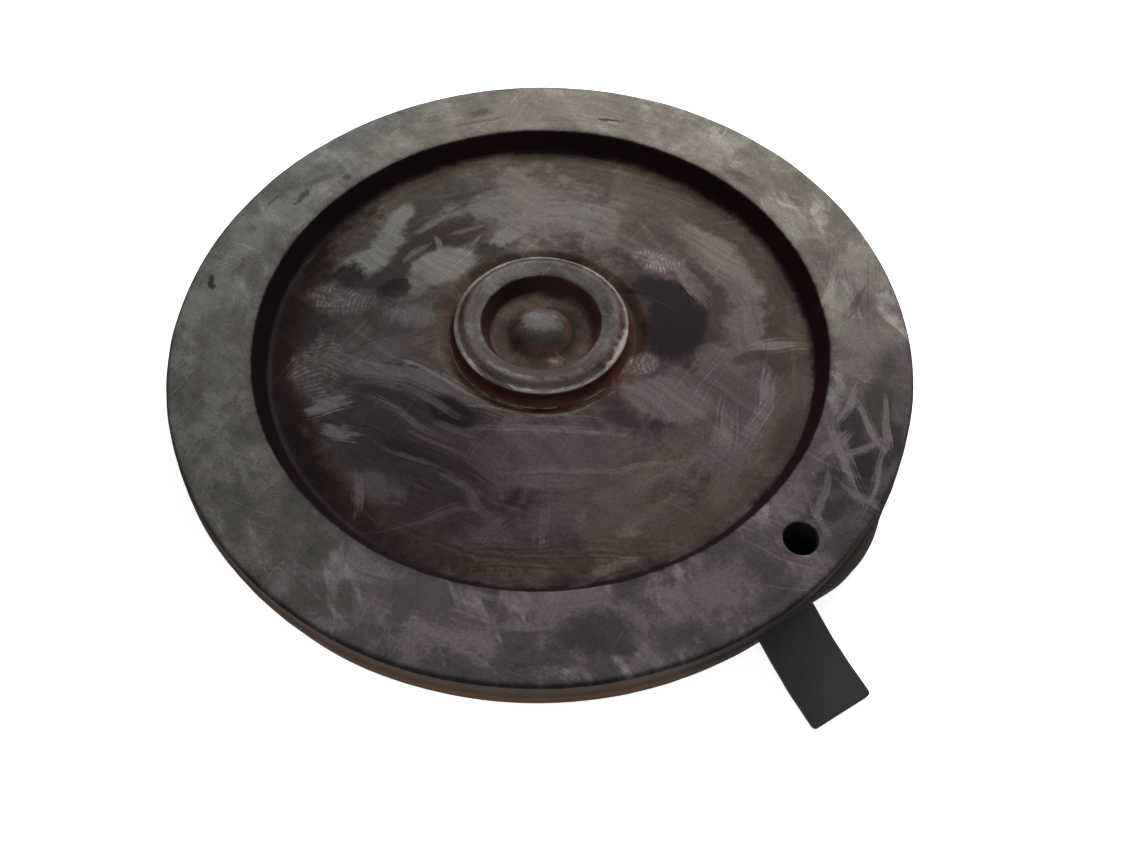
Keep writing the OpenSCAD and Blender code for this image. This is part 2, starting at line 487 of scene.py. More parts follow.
@dataclass
class TurnedDisc:
    """Rim, web, hub and boss as one turned body.

    Args:
        rim_height: Height of the sealing face.
        recess_edge: Radius of the recess's upper edge.
        recess_floor: Radius of the foot of its wall.
        floor_height: Height of the web at that foot.
        side_radius: Radius of the rim's side below the parting line.
        parting: Height of the parting line.
        flash: How far the flash stands out of the side.
        relief: Height of the web's underside at its outer end.
        web_rise: Climb of the web up to its lip.
        lip_radius: Radius of the lip where the web meets the groove.
        boss_radius: Radius of the flat boss.
        boss_lean: Spread of its flank up to the web.
        boss_round: Rounding of the boss.
        spacing: Greatest edge length on the side that shows.
        hidden_spacing: Greatest edge length on the underside.
        hidden_below: Height under which an edge counts as underside.
        sector_steps: Steps in one sector of the turn.
        sectors: Sectors of the full turn.
        flat_below: Height up to which the rubber lies flat on the table.
        uneven_from: Height above that one from which it is fully uneven.
        rim_calm: Share of the broad waves on the rim.
        cup_radius: Radius within which nothing sways.
        lift: Unevenness up and down.
        sway: Unevenness outwards and inwards.
    """

    rim_height: float = 4.1
    recess_edge: float = 28.5
    recess_floor: float = 27.4
    floor_height: float = 1.65
    side_radius: float = 36.7
    parting: float = 2.05
    flash: float = 0.1
    relief: float = 0.25
    web_rise: float = 1.36
    lip_radius: float = 10.6
    boss_radius: float = 10.0
    boss_lean: float = 0.8
    boss_round: float = 0.4
    spacing: float = 0.62
    hidden_spacing: float = 1.6
    hidden_below: float = 1.62
    sector_steps: int = 15
    sectors: int = 24
    flat_below: float = 0.3
    uneven_from: float = 1.2
    rim_calm: float = 0.45
    cup_radius: float = 4.0
    lift: Unevenness = Unevenness(0.09, 0.11, 0.03, 0.5)
    sway: Unevenness = Unevenness(0.07, 0.16, 0.022, 0.9)

    def underside(self) -> list[Corner]:
        """Lists the corners from the middle of the boss to the foot of the rim's side."""
        return [
            Corner(0, 0),
            Corner(self.boss_radius, 0, self.boss_round),
            Corner(self.boss_radius + self.boss_lean, self.relief + self.web_rise,
                   self.boss_round),
            Corner(self.recess_floor - self.relief, self.relief, 0.12, 2),
            Corner(self.recess_floor, 0, 0.1, 2),
        ]

    def side(self) -> list[Corner]:
        """Lists the corners up the rim's side, with the flash on its parting line."""
        side, face = self.side_radius, FACE_RADIUS
        return [
            Corner(side, 0, 0.45, 6),
            Corner(side, self.parting - 0.14, 0.06, 2),
            Corner(side + self.flash, self.parting - 0.07, 0.04, 2),
            Corner(side + 0.02, self.parting + 0.03, 0.05, 2),
            Corner(face, self.parting + 0.1, 0.08, 2),
            Corner(face, self.rim_height, 0.45, 7),
        ]

    def recess(self) -> list[Corner]:
        """Lists the corners from the sealing face down the recess and up the web."""
        return [
            Corner(self.recess_edge, self.rim_height, 0.35, 5),
            Corner(self.recess_floor, self.floor_height, 0.7, 6),
            Corner(self.lip_radius, self.floor_height + self.web_rise, 0.6, 5),
        ]

    def hub(self) -> list[Corner]:
        """Lists the corners from the groove over the bead and crest into the cup and dome."""
        return [
            Corner(9.45, 2.21, 0.35),  # bottom of the groove
            Corner(8.74, 3.3, 0.12, 3),  # underside of the bead
            Corner(8.86, 4.02, 0.36, 6),  # bead
            Corner(8.42, 4.14, 0.2),
            Corner(8.28, 4.12, 0.14, 3),  # valley
            Corner(7.5, 4.8, 0.5, 7),  # crest
            Corner(6.0, 4.15, 0.3, 5),  # mouth of the cup
            Corner(5.2, 2.3, 0.5, 5),  # foot of its wall
            Corner(3.35, 2.3, 0.9, 4),  # foot of the dome
            Corner(1.85, 3.66, 2.6, 12),  # shoulder of the dome
            Corner(0, 3.66),
        ]

    def soften(self, bm: bmesh.types.BMesh) -> None:
        """Gives the turned body the slight unevenness of pressed rubber that has been in use.

        Args:
            bm: The disc's mesh.
        """
        for vertex in bm.verts:
            here = vertex.co.copy()
            radius = here.xy.length
            if here.z < self.flat_below:
                continue
            calm = 1.0 if radius < self.recess_floor else self.rim_calm
            lift = self.lift.reach * calm * noise.noise(here * self.lift.waves)
            lift += self.lift.fine_reach * noise.noise(here * self.lift.fine_waves)
            vertex.co.z += lift * min(1.0, (here.z - self.flat_below) / self.uneven_from)
            if radius > self.cup_radius:
                # Read elsewhere in the noise, so that sway and lift don't go together
                elsewhere = here * self.sway.waves + Vector((40, 0, 0))
                sway = self.sway.reach * noise.noise(elsewhere)
                sway += self.sway.fine_reach * noise.noise(here * self.sway.fine_waves)
                vertex.co.x += sway * here.x / radius
                vertex.co.y += sway * here.y / radius

    def build(self, swelling: Swelling) -> bpy.types.Object:
        """Turns the section, swells it beside the passage and softens it.

        Args:
            swelling: The swelling beside the passage.

        Returns:
            The disc.
        """
        bm = bmesh.new()
        draw_section(bm, self.underside() + self.side() + self.recess() + self.hub())
        divide_runs(bm, self.spacing, self.hidden_spacing, self.hidden_below)
        turn_section(bm, self.sector_steps, self.sectors)
        swelling.press_out(bm, self.side_radius, self.parting + 0.05)
        self.soften(bm)
        return stand_up(bm, "diaphragm_rubber")


class NodeBench:
    """Lays out the shader nodes of one material, or of the world."""

    def __init__(self, holder: bpy.types.Material | bpy.types.World) -> None:
        """Starts with an empty node tree.

        Args:
            holder: The material or the world that the nodes belong to.
        """
        self.holder = holder
        holder.use_nodes = True
        self.tree = holder.node_tree
        self.tree.nodes.clear()

    def plug(self, target: Socket, value: object) -> None:
        """Sets a socket to a constant, or links another socket to it.

        Args:
            target: The socket that is fed.
            value: A number, several numbers or a socket.
        """
        if isinstance(value, Socket):
            self.tree.links.new(value, target)
        elif value is not None:
            target.default_value = value

    def node(self, kind: str, feeds: dict[int | str, object] | None = None,
             **settings: object) -> bpy.types.Node:
        """Adds a node.

        Args:
            kind: Type of the node, without its leading ShaderNode.
            feeds: What each input is set or linked to, by its number or name.
            settings: The node's own settings.

        Returns:
            The node.
        """
        made = self.tree.nodes.new("ShaderNode" + kind)
        for key, value in settings.items():
            setattr(made, key, value)
        for key, value in (feeds or {}).items():
            self.plug(made.inputs[key], value)
        return made

    def calc(self, operation: str, *values: Number, clamp: bool = False) -> Socket:
        """Adds one Math node and returns its result."""
        return self.node("Math", dict(enumerate(values)), operation=operation,
                         use_clamp=clamp).outputs[0]

    def plus(self, first: Number, second: Number) -> Socket:
        """Adds two values."""
        return self.calc("ADD", first, second)

    def times(self, first: Number, second: Number) -> Socket:
        """Multiplies two values."""
        return self.calc("MULTIPLY", first, second)

    def times_plus(self, first: Number, second: Number, third: Number) -> Socket:
        """Multiplies two values and adds a third."""
        return self.calc("MULTIPLY_ADD", first, second, third)

    def larger(self, first: Number, second: Number) -> Socket:
        """Takes the larger of two values."""
        return self.calc("MAXIMUM", first, second)

    def from_axis(self, across: Number, away: Number) -> Socket:
        """Works out the distance from an axis."""
        return self.calc("SQRT", self.times_plus(across, across, self.times(away, away)))

    def pack(self, *parts: Number) -> Socket:
        """Joins three values into a vector."""
        return self.node("CombineXYZ", dict(enumerate(parts))).outputs[0]

    def split(self, vector: Socket) -> list[Socket]:
        """Splits a vector into its three values."""
        return list(self.node("SeparateXYZ", {0: vector}).outputs)

    def parts_of(self, colour: Socket) -> list[Socket]:
        """Splits a colour into its three values."""
        return list(self.node("SeparateColor", {0: colour}).outputs)

    def length(self, vector: Socket) -> Socket:
        """Returns the length of a vector."""
        return self.node("VectorMath", {0: vector}, operation="LENGTH").outputs["Value"]

    def scaled(self, vector: Socket, scale: Sequence[float], turn: float = 0.0,
               shift: Sequence[float] = (0, 0, 0)) -> Socket:
        """Scales, turns and shifts a vector.

        Args:
            vector: The vector.
            scale: Factor along each axis, used first.
            turn: Angle about Z in radians, used next.
            shift: Distance along each axis, used last.

        Returns:
            The new vector.
        """
        feeds = {"Vector": vector, "Scale": scale, "Rotation": (0, 0, turn), "Location": shift}
        return self.node("Mapping", feeds, vector_type="POINT").outputs[0]

    def seen_from(self, vector: Socket, place: Sequence[float], turn: float,
                  size: Sequence[float]) -> Socket:
        """Gives a place as seen from a mark, whose outline is then the unit circle.

        Args:
            vector: The place on the disc.
            place: The mark's middle.
            turn: Direction of the mark's length in radians.
            size: Half the mark's length and width.

        Returns:
            The place in the mark's own measure.
        """
        feeds = {"Vector": vector, "Location": (*place, 0), "Rotation": (0, 0, turn),
                 "Scale": (*size, FLATTENED)}
        return self.node("Mapping", feeds, vector_type="TEXTURE").outputs[0]

    def grain(self, vector: Socket, scale: float, detail: float = 2.0, roughness: float = 0.5,
              flat: bool = True, distortion: float = 0.0) -> Socket:
        """Adds a noise texture and returns its value.

        Args:
            vector: Where it is read.
            scale: Waves in one unit.
            detail: Octaves.
            roughness: Strength of each finer octave.
            flat: Leaves out the vector's third part, which is quicker.
            distortion: How far it is stirred.

        Returns:
            The value, mostly between 0.2 and 0.8.
        """
        feeds = {"Vector": vector, "Scale": scale, "Detail": detail, "Roughness": roughness,
                 "Distortion": distortion}
        made = self.node("TexNoise", feeds, noise_dimensions="2D" if flat else "3D")
        return made.outputs["Fac"]

    def stir(self, vector: Socket, scale: float, detail: float, roughness: float) -> list[Socket]:
        """Adds a flat noise texture and returns its three separate values."""
        made = self.grain(vector, scale, detail, roughness).node
        return self.parts_of(made.outputs["Color"])

    def combed(self, vector: Socket, turn: float, waves: tuple[float, float],
               detail: float = 0.0, roughness: float = 0.5, distortion: float = 0.0,
               shift: float = 0.0) -> Socket:
        """Adds a noise that is drawn out into streaks.

        Args:
            vector: Where it is read.
            turn: Angle in degrees by which the streaks are turned clockwise from the right.
            waves: Waves in one unit along and across the streaks.
            detail: Octaves.
            roughness: Strength of each finer octave.
            distortion: How far it is stirred.
            shift: How far the pattern is shifted along the streaks.

        Returns:
            The value, mostly between 0.2 and 0.8.
        """
        turned = self.scaled(vector, (1, 1, 0), math.radians(turn))
        drawn = self.scaled(turned, (*waves, 0), 0, (shift, 0, 0))
        return self.grain(drawn, 1.0, detail, roughness, distortion=distortion)

    def ramp(self, value: Number, low: float, high: float, out_low: float = 0.0,
             out_high: float = 1.0, kind: str = "SMOOTHSTEP") -> Socket:
        """Maps a value from one span to another, with clamped ends.

        Args:
            value: The value.
            low: Value that gives out_low.
            high: Value that gives out_high.
            out_low: Result at and beyond low.
            out_high: Result at and beyond high.
            kind: The way from low to high, smooth unless it is LINEAR.

        Returns:
            The result.
        """
        feeds = {"Value": value, "From Min": low, "From Max": high, "To Min": out_low,
                 "To Max": out_high}
        return self.node("MapRange", feeds, interpolation_type=kind).outputs[0]

    def span(self, value: Number, low: float, high: float, out_low: float = 0.0,
             out_high: float = 1.0) -> Socket:
        """Maps a value from one span to another in a straight line, with clamped ends."""
        return self.ramp(value, low, high, out_low, out_high, "LINEAR")

    def mix(self, factor: Number, first: Number, second: Number) -> Socket:
        """Mixes two values."""
        made = self.node("Mix", {0: factor, 2: first, 3: second}, data_type="FLOAT")
        return made.outputs[0]

    def mix_colour(self, factor: Number, first: Rgb | Socket, second: Rgb | Socket,
                   blend: str = "MIX") -> Socket:
        """Mixes two colours.

        Args:
            factor: Share of the second.
            first: The first colour, three numbers or a socket.
            second: The second colour.
            blend: How the second is laid on.

        Returns:
            The mixed colour.
        """
        opaque = [(*c, 1.0) if isinstance(c, tuple) else c for c in (first, second)]
        made = self.node("Mix", {0: factor, 6: opaque[0], 7: opaque[1]}, data_type="RGBA",
                         blend_type=blend)
        return made.outputs[2]

    def stops(self, value: Number, stops: Sequence[tuple[float, Rgb]]) -> Socket:
        """Reads a colour from a row of stops.

        Args:
            value: Place on the row.
            stops: Place and colour of each stop, in order.

        Returns:
            The colour.
        """
        made = self.node("ValToRGB", {0: value})
        band = made.color_ramp
        band.interpolation = "LINEAR"
        band.elements.remove(band.elements[1])
        band.elements[0].position, band.elements[0].color = stops[0][0], (*stops[0][1], 1.0)
        for spot, colour in stops[1:]:
            band.elements.new(spot).color = (*colour, 1.0)
        return made.outputs[0]

    def backdrop_rays(self) -> Socket:
        """Tells the rays that see the white background from those that light the piece.

        Returns:
            1 for rays from the camera or by way of gloss or glass, and 0 for the rest.
        """
        path = self.node("LightPath").outputs
        seen = self.larger(path["Is Camera Ray"], path["Is Glossy Ray"])
        return self.larger(seen, path["Is Transmission Ray"])

    def finish_with(self, shader: bpy.types.Node, kind: str = "OutputMaterial") -> None:
        """Sends a shader to the output."""
        self.node(kind, {0: shader.outputs[0]})


# Film from the disc's axis outwards, on the side that shows: (radius, film)
FILM_BY_RADIUS = (
    (0.0, 0.36), (0.050, 0.34), (0.075, 0.20), (0.090, 0.16), (0.104, 0.28), (0.128, 0.40),
    (0.140, 0.30), (0.146, 0.05), (0.163, 0.06), (0.168, 0.54), (0.195, 0.56), (0.210, 0.46),
    (0.220, 0.24), (0.227, 0.30), (0.233, 0.76), (0.243, 0.72), (0.249, 0.34), (0.268, 0.32),
    (0.285, 0.31), (0.315, 0.28), (0.60, 0.30), (0.66, 0.40), (0.705, 0.42), (0.738, 0.32),
    (0.750, 0.03), (0.778, 0.02), (0.784, 0.50), (0.80, 0.60), (0.985, 0.60), (0.993, 0.52),
    (0.997, 0.30), (1.0, 0.28),
)

# How marks are drawn
PATCH_CALM = 0.45  # raggedness of a patch, against a blot's 1
HAIRS = 150  # hairs of a wipe in one disc radius
FEWEST_HAIRS = 3.5  # hairs of the narrowest wipe
HAIR_WAVES = 0.7  # waves along the hairs in half a wipe's length
HAIR_SHIFT = 60  # shifts the hairs of each wipe by its own place, so that none are alike

# Rings of brown scale on web and hub: (radius, how far each reaches, its share)
BROWN_RINGS = ((0.705, 0.07, 0.7), (0.27, 0.05, 0.9), (0.115, 0.05, 1.0))


@dataclass(frozen=True)
class FilmTone:
    """Colours of the film at five levels, from bare rubber to thick chalk."""

    bare: Rgb = (0.0075, 0.0050, 0.0057)
    thin: Rgb = (0.039, 0.0285, 0.0265)
    worn: Rgb = (0.078, 0.065, 0.062)
    full: Rgb = (0.145, 0.132, 0.128)
    thick: Rgb = (0.285, 0.270, 0.260)

    def row(self) -> list[tuple[float, Rgb]]:
        """Lists the tones with their film levels."""
        return [(0.0, self.bare), (0.25, self.thin), (0.5, self.worn), (0.75, self.full),
                (1.0, self.thick)]


@dataclass(frozen=True)
class FilmTint:
    """Tints that the tone is multiplied by: each zone drifts from one to another.

    The rim's near, far and left tints are the painted colour of the light. The side's left tint
    is its own brown warmed by painted bounce light, and the table reflection low on it is painted.
    """

    # Painted light: the tint of the light on the rim, purplish near, yellowish far and greenish on
    # the left.
    rim_near_painted_light: Rgb = (1.0, 0.95, 1.06)
    rim_far_painted_light: Rgb = (1.0, 1.0, 0.88)
    rim_left_painted_light: Rgb = (0.94, 1.04, 0.99)
    rim_wiped: Rgb = (0.85, 1.02, 1.05)
    rim_filmed: Rgb = (1.0, 1.0, 1.0)
    web_left: Rgb = (0.97, 1.06, 1.10)
    web_right: Rgb = (1.02, 0.93, 0.97)
    web_near: Rgb = (1.01, 0.98, 1.08)
    web_far: Rgb = (0.99, 1.02, 0.94)
    hub: Rgb = (0.97, 0.99, 0.97)
    brown_near: Rgb = (1.14, 0.92, 0.77)
    brown_far: Rgb = (1.06, 0.98, 0.74)
    # Painted light: warm bounce from an orange table on the side's left, over the side's own
    # brown, and that table's painted orange reflection low on it.
    side_left_warm_bounce: Rgb = (1.20, 0.97, 0.80)
    side_right: Rgb = (0.98, 1.00, 0.96)
    painted_table_reflection: Rgb = (1.80, 0.93, 0.50)


@dataclass(frozen=True)
class WallTintsWithPaintedLight:
    """Tints of the steep inner walls, which the film hardly covers.

    The left walls of the recess and the cup are darkened as painted shade, and the cup's right
    wall is lightened as painted light.
    """

    film: float = 0.08
    recess_right: Rgb = (1.20, 0.68, 0.74)
    # Painted shade: the left recess wall is darker than the right.
    recess_left_painted_shade: Rgb = (0.50, 0.36, 0.40)
    groove: Rgb = (2.5, 1.45, 1.55)
    # Painted shade on the cup's left wall and painted light on its right wall.
    cup_left_painted_shade: Rgb = (2.4, 1.5, 1.6)
    cup_right_painted_light: Rgb = (6.6, 4.4, 4.2)


@dataclass(frozen=True)
class Whereabouts:
    """Where a point of the surface lies, in disc radii as the camera sees the disc.

    Args:
        place: The point.
        parts: How far it lies to the right, away and up.
        bent: The first two, gently stirred, so that strokes curve.
        frayed: The same, finely stirred as well, so that edges are ragged.
        fray: The fine noise itself.
        radius: Distance of the point from the disc's axis.
        frayed_radius: Distance of the frayed point.
        angle: Direction of the frayed point from the axis.
    """

    place: Socket
    parts: list[Socket]
    bent: tuple[Socket, Socket]
    frayed: tuple[Socket, Socket]
    fray: Socket
    radius: Socket
    frayed_radius: Socket
    angle: Socket

    @classmethod
    def of_surface(cls, bench: NodeBench, place: Socket) -> "Whereabouts":
        """Works out the whereabouts of each point.

        Args:
            bench: Where the nodes are laid out.
            place: Its place in disc radii.

        Returns:
            The whereabouts.
        """
        parts = bench.split(place)
        swirl = bench.stir(place, 5.0, 1.0, 0.5)
        fray = bench.stir(place, 34.0, 2.0, 0.6)
        bent = cls.shaken(bench, parts, swirl, 0.05)
        frayed = cls.shaken(bench, bent, fray, 0.026)
        return cls(place, parts, bent, frayed, fray[2], bench.from_axis(parts[0], parts[1]),
                   bench.from_axis(*frayed), bench.calc("ARCTAN2", frayed[1], frayed[0]))

    @staticmethod
    def shaken(bench: NodeBench, steady: Sequence[Socket], noises: Sequence[Socket],
               reach: float) -> tuple[Socket, Socket]:
        """Shakes a place to the right and away by two noises.

        Args:
            bench: Where the nodes are laid out.
            steady: The place.
            noises: The noises, each about 0.5 in its middle.
            reach: How far they shake the place in all.

        Returns:
            The shaken place.
        """
        right, away = (bench.times_plus(noises[i], reach, bench.plus(steady[i], -reach / 2))
                       for i in (0, 1))
        return right, away

    def under(self, brush: Brush) -> tuple[Socket, Socket]:
        """Gives the place in which a brush draws.

        Args:
            brush: The brush.

        Returns:
            Radius and angle for an arc, or else the way to the right and away: ragged
            for a blot and smoother for the rest.
        """
        if brush is Brush.ARC:
            return self.frayed_radius, self.angle
        return self.frayed if brush is Brush.BLOT else self.bent


@dataclass(frozen=True)
class FilmedRubber:
    """Black rubber under a wiped film of chalk, with the marks of one zone laid one by one.

    Args:
        name: Name of the material.
        marks: Its marks, in the order in which they are laid.
        cloud_scale: Clouds of the film in one disc radius.
        streaks: Angles in degrees by which its broad pale streaks are turned clockwise.
        tone: Colours of the film by its thickness.
        tint: Tints of the film by its place.
        walls: Tints of the steep inner walls, with their painted shade and light.
    """

    name: str
    marks: tuple[Mark, ...]
    cloud_scale: float = 4.6
    streaks: tuple[float, ...] = ()
    tone: FilmTone = FilmTone()
    tint: FilmTint = FilmTint()
    walls: WallTintsWithPaintedLight = WallTintsWithPaintedLight()

    def material(self) -> bpy.types.Material:
        """Makes the material.

        Returns:
            The material of every face that the film lies on.
        """
        bench = NodeBench(bpy.data.materials.new(self.name))
        source = bench.node("TexCoord").outputs
        place = bench.scaled(source["Object"], (1 / (FACE_RADIUS * MM),) * 3, CAMERA_TURN)
        at = Whereabouts.of_surface(bench, place)
        clouds = bench.grain(bench.pack(*at.frayed, 0.0), self.cloud_scale, 5.0, 0.68)

        film = self.settled(bench, at, clouds)
        uneven = bench.times_plus(at.fray, 0.5, bench.span(clouds, 0.2, 0.8, 0.15, -0.65))
        for mark in self.marks:
            film = self.lay_mark(bench, film, at.under(mark.brush), uneven, mark)
        film = self.worn(bench, film, at)

        steep = bench.ramp(bench.calc("ABSOLUTE", bench.split(source["Normal"])[2]), 0.88, 0.50)
        inner_wall = bench.times(steep, bench.ramp(at.radius, 0.93, 0.90))
        film = bench.times(film, bench.span(inner_wall, 0, 1, 1, self.walls.film))
        # The sealing face is 0.112 of a disc radius high, and the side has a film of its own
        side = bench.times(bench.ramp(at.parts[2], 0.104, 0.098),
                           bench.ramp(at.radius, *FACE_TO_SIDE))
        side_film = bench.times_plus(clouds, 0.3, bench.ramp(at.parts[0], 0.25, 0.5, 0.50, 0.30))
        film = bench.mix(side, bench.larger(film, 0.0), side_film)

        # On the inner walls the colour is multiplied by their tints, which carry painted shade on
        # the left and painted light on the cup's right wall.
        colour = bench.mix_colour(inner_wall, self.colour(bench, film, at, clouds),
                                  self.wall_tints_with_painted_light(bench, at), "MULTIPLY")
        skin = bench.grain(place, 90.0, 2.0, 0.6, flat=False)
        bump = bench.node("Bump", {"Strength": 0.5, "Distance": SKIN_DEPTH, "Height": skin})
        bench.finish_with(bench.node("BsdfPrincipled", {
            "Base Color": colour, "Roughness": bench.span(film, 0.05, 0.7, 0.56, 0.85),
            "Normal": bump.outputs[0], "Specular IOR Level": 0.02,
        }))
        return bench.holder

    def settled(self, bench: NodeBench, at: Whereabouts, clouds: Socket) -> Socket:
        """Works out the film before any mark: by radius, with clouds and broad streaks.

        Args:
            bench: Where the nodes are laid out.
            at: Where the point lies.
            clouds: The film's clouds.

        Returns:
            The film, made thicker towards the far right as painted light.
        """
        ragged = bench.times_plus(at.fray, 0.008, bench.calc("SUBTRACT", at.radius, 0.004))
        rows = [(radius, (film, film, film)) for radius, film in FILM_BY_RADIUS]
        film = bench.parts_of(bench.stops(ragged, rows))[0]

        # Towards the near right the film is cloudier, and its clouds are crisper
        near_right = bench.times_plus(at.parts[0], 0.64, bench.times(at.parts[1], -0.77))
        strength = bench.ramp(near_right, -0.1, 0.75, 0.17, 0.20)
        crisp = bench.mix(bench.ramp(at.radius, 0.77, 0.76),
                          bench.ramp(near_right, -0.2, 0.75, 0.12, 0.15), 0.22)
        spread = bench.times_plus(bench.ramp(clouds, 0.49, 0.56, -1.0, 1.0), crisp,
                                  bench.span(clouds, 0.28, 0.72, -0.75, 0.75))
        film = bench.times_plus(spread, strength, film)
        for turn in self.streaks:
            streak = bench.combed(bench.pack(*at.bent, 0.0), turn, (5.0, 16), 3.0, 0.6, 0.4, turn)
            share = bench.ramp(near_right, -0.6, 0.6, 0.07, 0.21)
            film = bench.times_plus(bench.ramp(streak, 0.56, 0.70), share, film)
        # Painted light: the film grows thicker, and so paler, towards the far right, where the
        # lamp's light falls, more on the rim than on the web.
        far_right = bench.times_plus(at.parts[0], 0.3, at.parts[1])
        painted_light_slope = bench.times(far_right, bench.ramp(at.radius, 0.76, 0.78, 0.05, 0.12))
        return bench.larger(bench.plus(film, painted_light_slope), 0.0)

    def lay_mark(self, bench: NodeBench, film: Socket, where: tuple[Socket, Socket],
                 uneven: Socket, mark: Mark) -> Socket:
        """Lays one mark over the film.

        The film so far goes along as the place's third part, which no mark looks at. It has the
        renderer work the marks out one after another, and not hold them all at once.

        Args:
            bench: Where the nodes are laid out.
            film: The film before the mark.
            where: Place on the disc; for an arc, its radius and angle.
            uneven: How far the mark's edge lies outwards or inwards here.
            mark: The mark.

        Returns:
            The film after the mark.
        """
        if mark.brush is Brush.ARC:
            middle, turn = (mark.x, math.radians(mark.y)), 0.0
            size = (mark.wide, math.radians(mark.long))
        else:
            middle, turn = (mark.x, mark.y), math.radians(mark.turn)
            size = (mark.long, mark.wide)
        own = bench.seen_from(bench.pack(*where, film), middle, turn, size)
        ragged = PATCH_CALM if mark.brush is Brush.PATCH else 1.0
        away = bench.times_plus(uneven, ragged, bench.length(own))
        level: Number = mark.film
        if mark.brush is Brush.WIPE:
            across = max(FEWEST_HAIRS, mark.wide * HAIRS)
            shift = (mark.x * HAIR_SHIFT, mark.y * HAIR_SHIFT, 0)
            hairs = bench.scaled(own, (HAIR_WAVES, across, 0), 0, shift)
            away = bench.times_plus(bench.grain(hairs, 1.0, 0.0, 0.6), 1.0,
                                    bench.calc("SUBTRACT", away, 0.5))
        elif mark.brush is Brush.FINGER:
            level = self.ridges(bench, own, mark)
        inside = bench.ramp(away, 1.0, max(0.0, 1.0 - mark.edge), 0.0, mark.cover)
        return bench.mix(inside, film, level)

    def ridges(self, bench: NodeBench, own: Socket, mark: Mark) -> Socket:
        """Draws finger ridges across a mark, bent like the whorl of a thumb.

        Args:
            bench: Where the nodes are laid out.
            own: Place in the mark's own measure.
            mark: The mark.

        Returns:
            The film in the mark.
        """
        along, across, _ = bench.split(own)
        line = bench.times_plus(bench.times(along, along), 0.15, across)
        line = bench.times_plus(bench.grain(own, 1.3, 1.0), 0.30, line)
        wave = bench.calc("SINE", bench.times(line, FULL_TURN * mark.wide / mark.pitch))
        broken = bench.grain(own, 4.0, 1.0, 0.6)
        wave = bench.times(wave, bench.span(broken, 0.30, 0.62))
        level = bench.span(wave, -0.8, 0.7, mark.film - 0.40, mark.film - 0.18)
        return bench.times_plus(broken, 0.5, level)

    def worn(self, bench: NodeBench, film: Socket, at: Whereabouts) -> Socket:
        """Lays the fine wear over the film: rubbed arcs, slanting streaks, specks, scratches.

        Args:
            bench: Where the nodes are laid out.
            film: The film before the wear.
            at: Where the point lies.

        Returns:
            The film after the wear.
        """
        bent = bench.pack(*at.bent, 0.0)
        round_about = bench.pack(at.frayed_radius, at.angle, 0.0)
        region = bench.grain(at.place, 2.3, 1.0)
        arcs = bench.grain(bench.scaled(round_about, (62, 2.2, 0)), 1.0, 2.0, 0.6)
        slant = bench.combed(bent, 38, (3.2, 46), 2.0, 0.6)
        rubbed = bench.mix(bench.ramp(region, 0.42, 0.58), arcs, slant)
        reach = bench.ramp(at.radius, *WEB_TO_RIM, 0.08, 0.05)
        change = bench.times(bench.span(rubbed, 0.22, 0.78, -1, 1), reach)
        specks = bench.grain(at.place, 150.0, 2.0, 0.75)
        change = bench.plus(change, bench.span(specks, *NOISE_RANGE, -0.06, 0.06))
        film = bench.times_plus(change, bench.span(film, 0.0, 0.5, 0.12, 1.0), film)
        for turn, waves, strength, where in ((-57, (3.4, 170), 0.13, (0.48, 0.62)),
                                             (24, (3.0, 150), 0.12, (0.50, 0.36))):
            hair = bench.ramp(bench.combed(bent, turn, waves), 0.75, 0.83, 0, strength)
            film = bench.plus(film, bench.times(hair, bench.ramp(region, *where)))
        return film

    def colour(self, bench: NodeBench, film: Socket, at: Whereabouts, clouds: Socket) -> Socket:
        """Colours the film: brown on the web, and on the rim greenish, yellowish or purplish in
        painted tints of the light, with painted bounce light and a painted table reflection on the
        side.

        Args:
            bench: Where the nodes are laid out.
            film: The film.
            at: Where the point lies.
            clouds: The film's own clouds.

        Returns:
            The colour.
        """
        tint, radius = self.tint, at.radius
        drift = bench.times_plus(clouds, 1.6, -0.8)
        right, away = bench.plus(at.parts[0], drift), bench.plus(at.parts[1], drift)
        # Painted light: the rim takes the light's tint, purplish near, yellowish far and greenish
        # on the left.
        rim = bench.mix_colour(bench.ramp(away, -0.6, 0.5), tint.rim_near_painted_light, tint.rim_far_painted_light)
        rim = bench.mix_colour(bench.ramp(right, -0.1, -0.8), rim, tint.rim_left_painted_light)
        wiped = bench.mix_colour(bench.ramp(film, 0.15, 0.6), tint.rim_wiped, tint.rim_filmed)
        rim = bench.mix_colour(1.0, rim, wiped, "MULTIPLY")
        web = bench.mix_colour(bench.ramp(right, -0.6, 0.3), tint.web_left, tint.web_right)
        depth = bench.mix_colour(bench.ramp(away, -0.4, 0.4), tint.web_near, tint.web_far)
        web = bench.mix_colour(1.0, web, depth, "MULTIPLY")
        shown = bench.mix_colour(bench.ramp(radius, 0.765, 0.785), web, rim)
        shown = bench.mix_colour(bench.ramp(radius, 0.25, 0.235), shown, tint.hub)

        # Brown scale lies in rings, and in one patch on the near right of the web
        corner = bench.from_axis(bench.plus(right, -0.32), bench.plus(away, 0.50))
        brown = bench.ramp(corner, 0.36, 0.05, 0, 0.6)
        for middle, reach, share in BROWN_RINGS:
            off = bench.calc("ABSOLUTE", bench.plus(radius, -middle))
            brown = bench.larger(brown, bench.ramp(off, reach, 0.01, 0, share))
        brown = bench.times(brown, bench.ramp(radius, 0.775, 0.765))
        scale = bench.mix_colour(bench.ramp(away, -0.1, 0.5), tint.brown_near, tint.brown_far)
        shown = bench.mix_colour(brown, shown, scale)

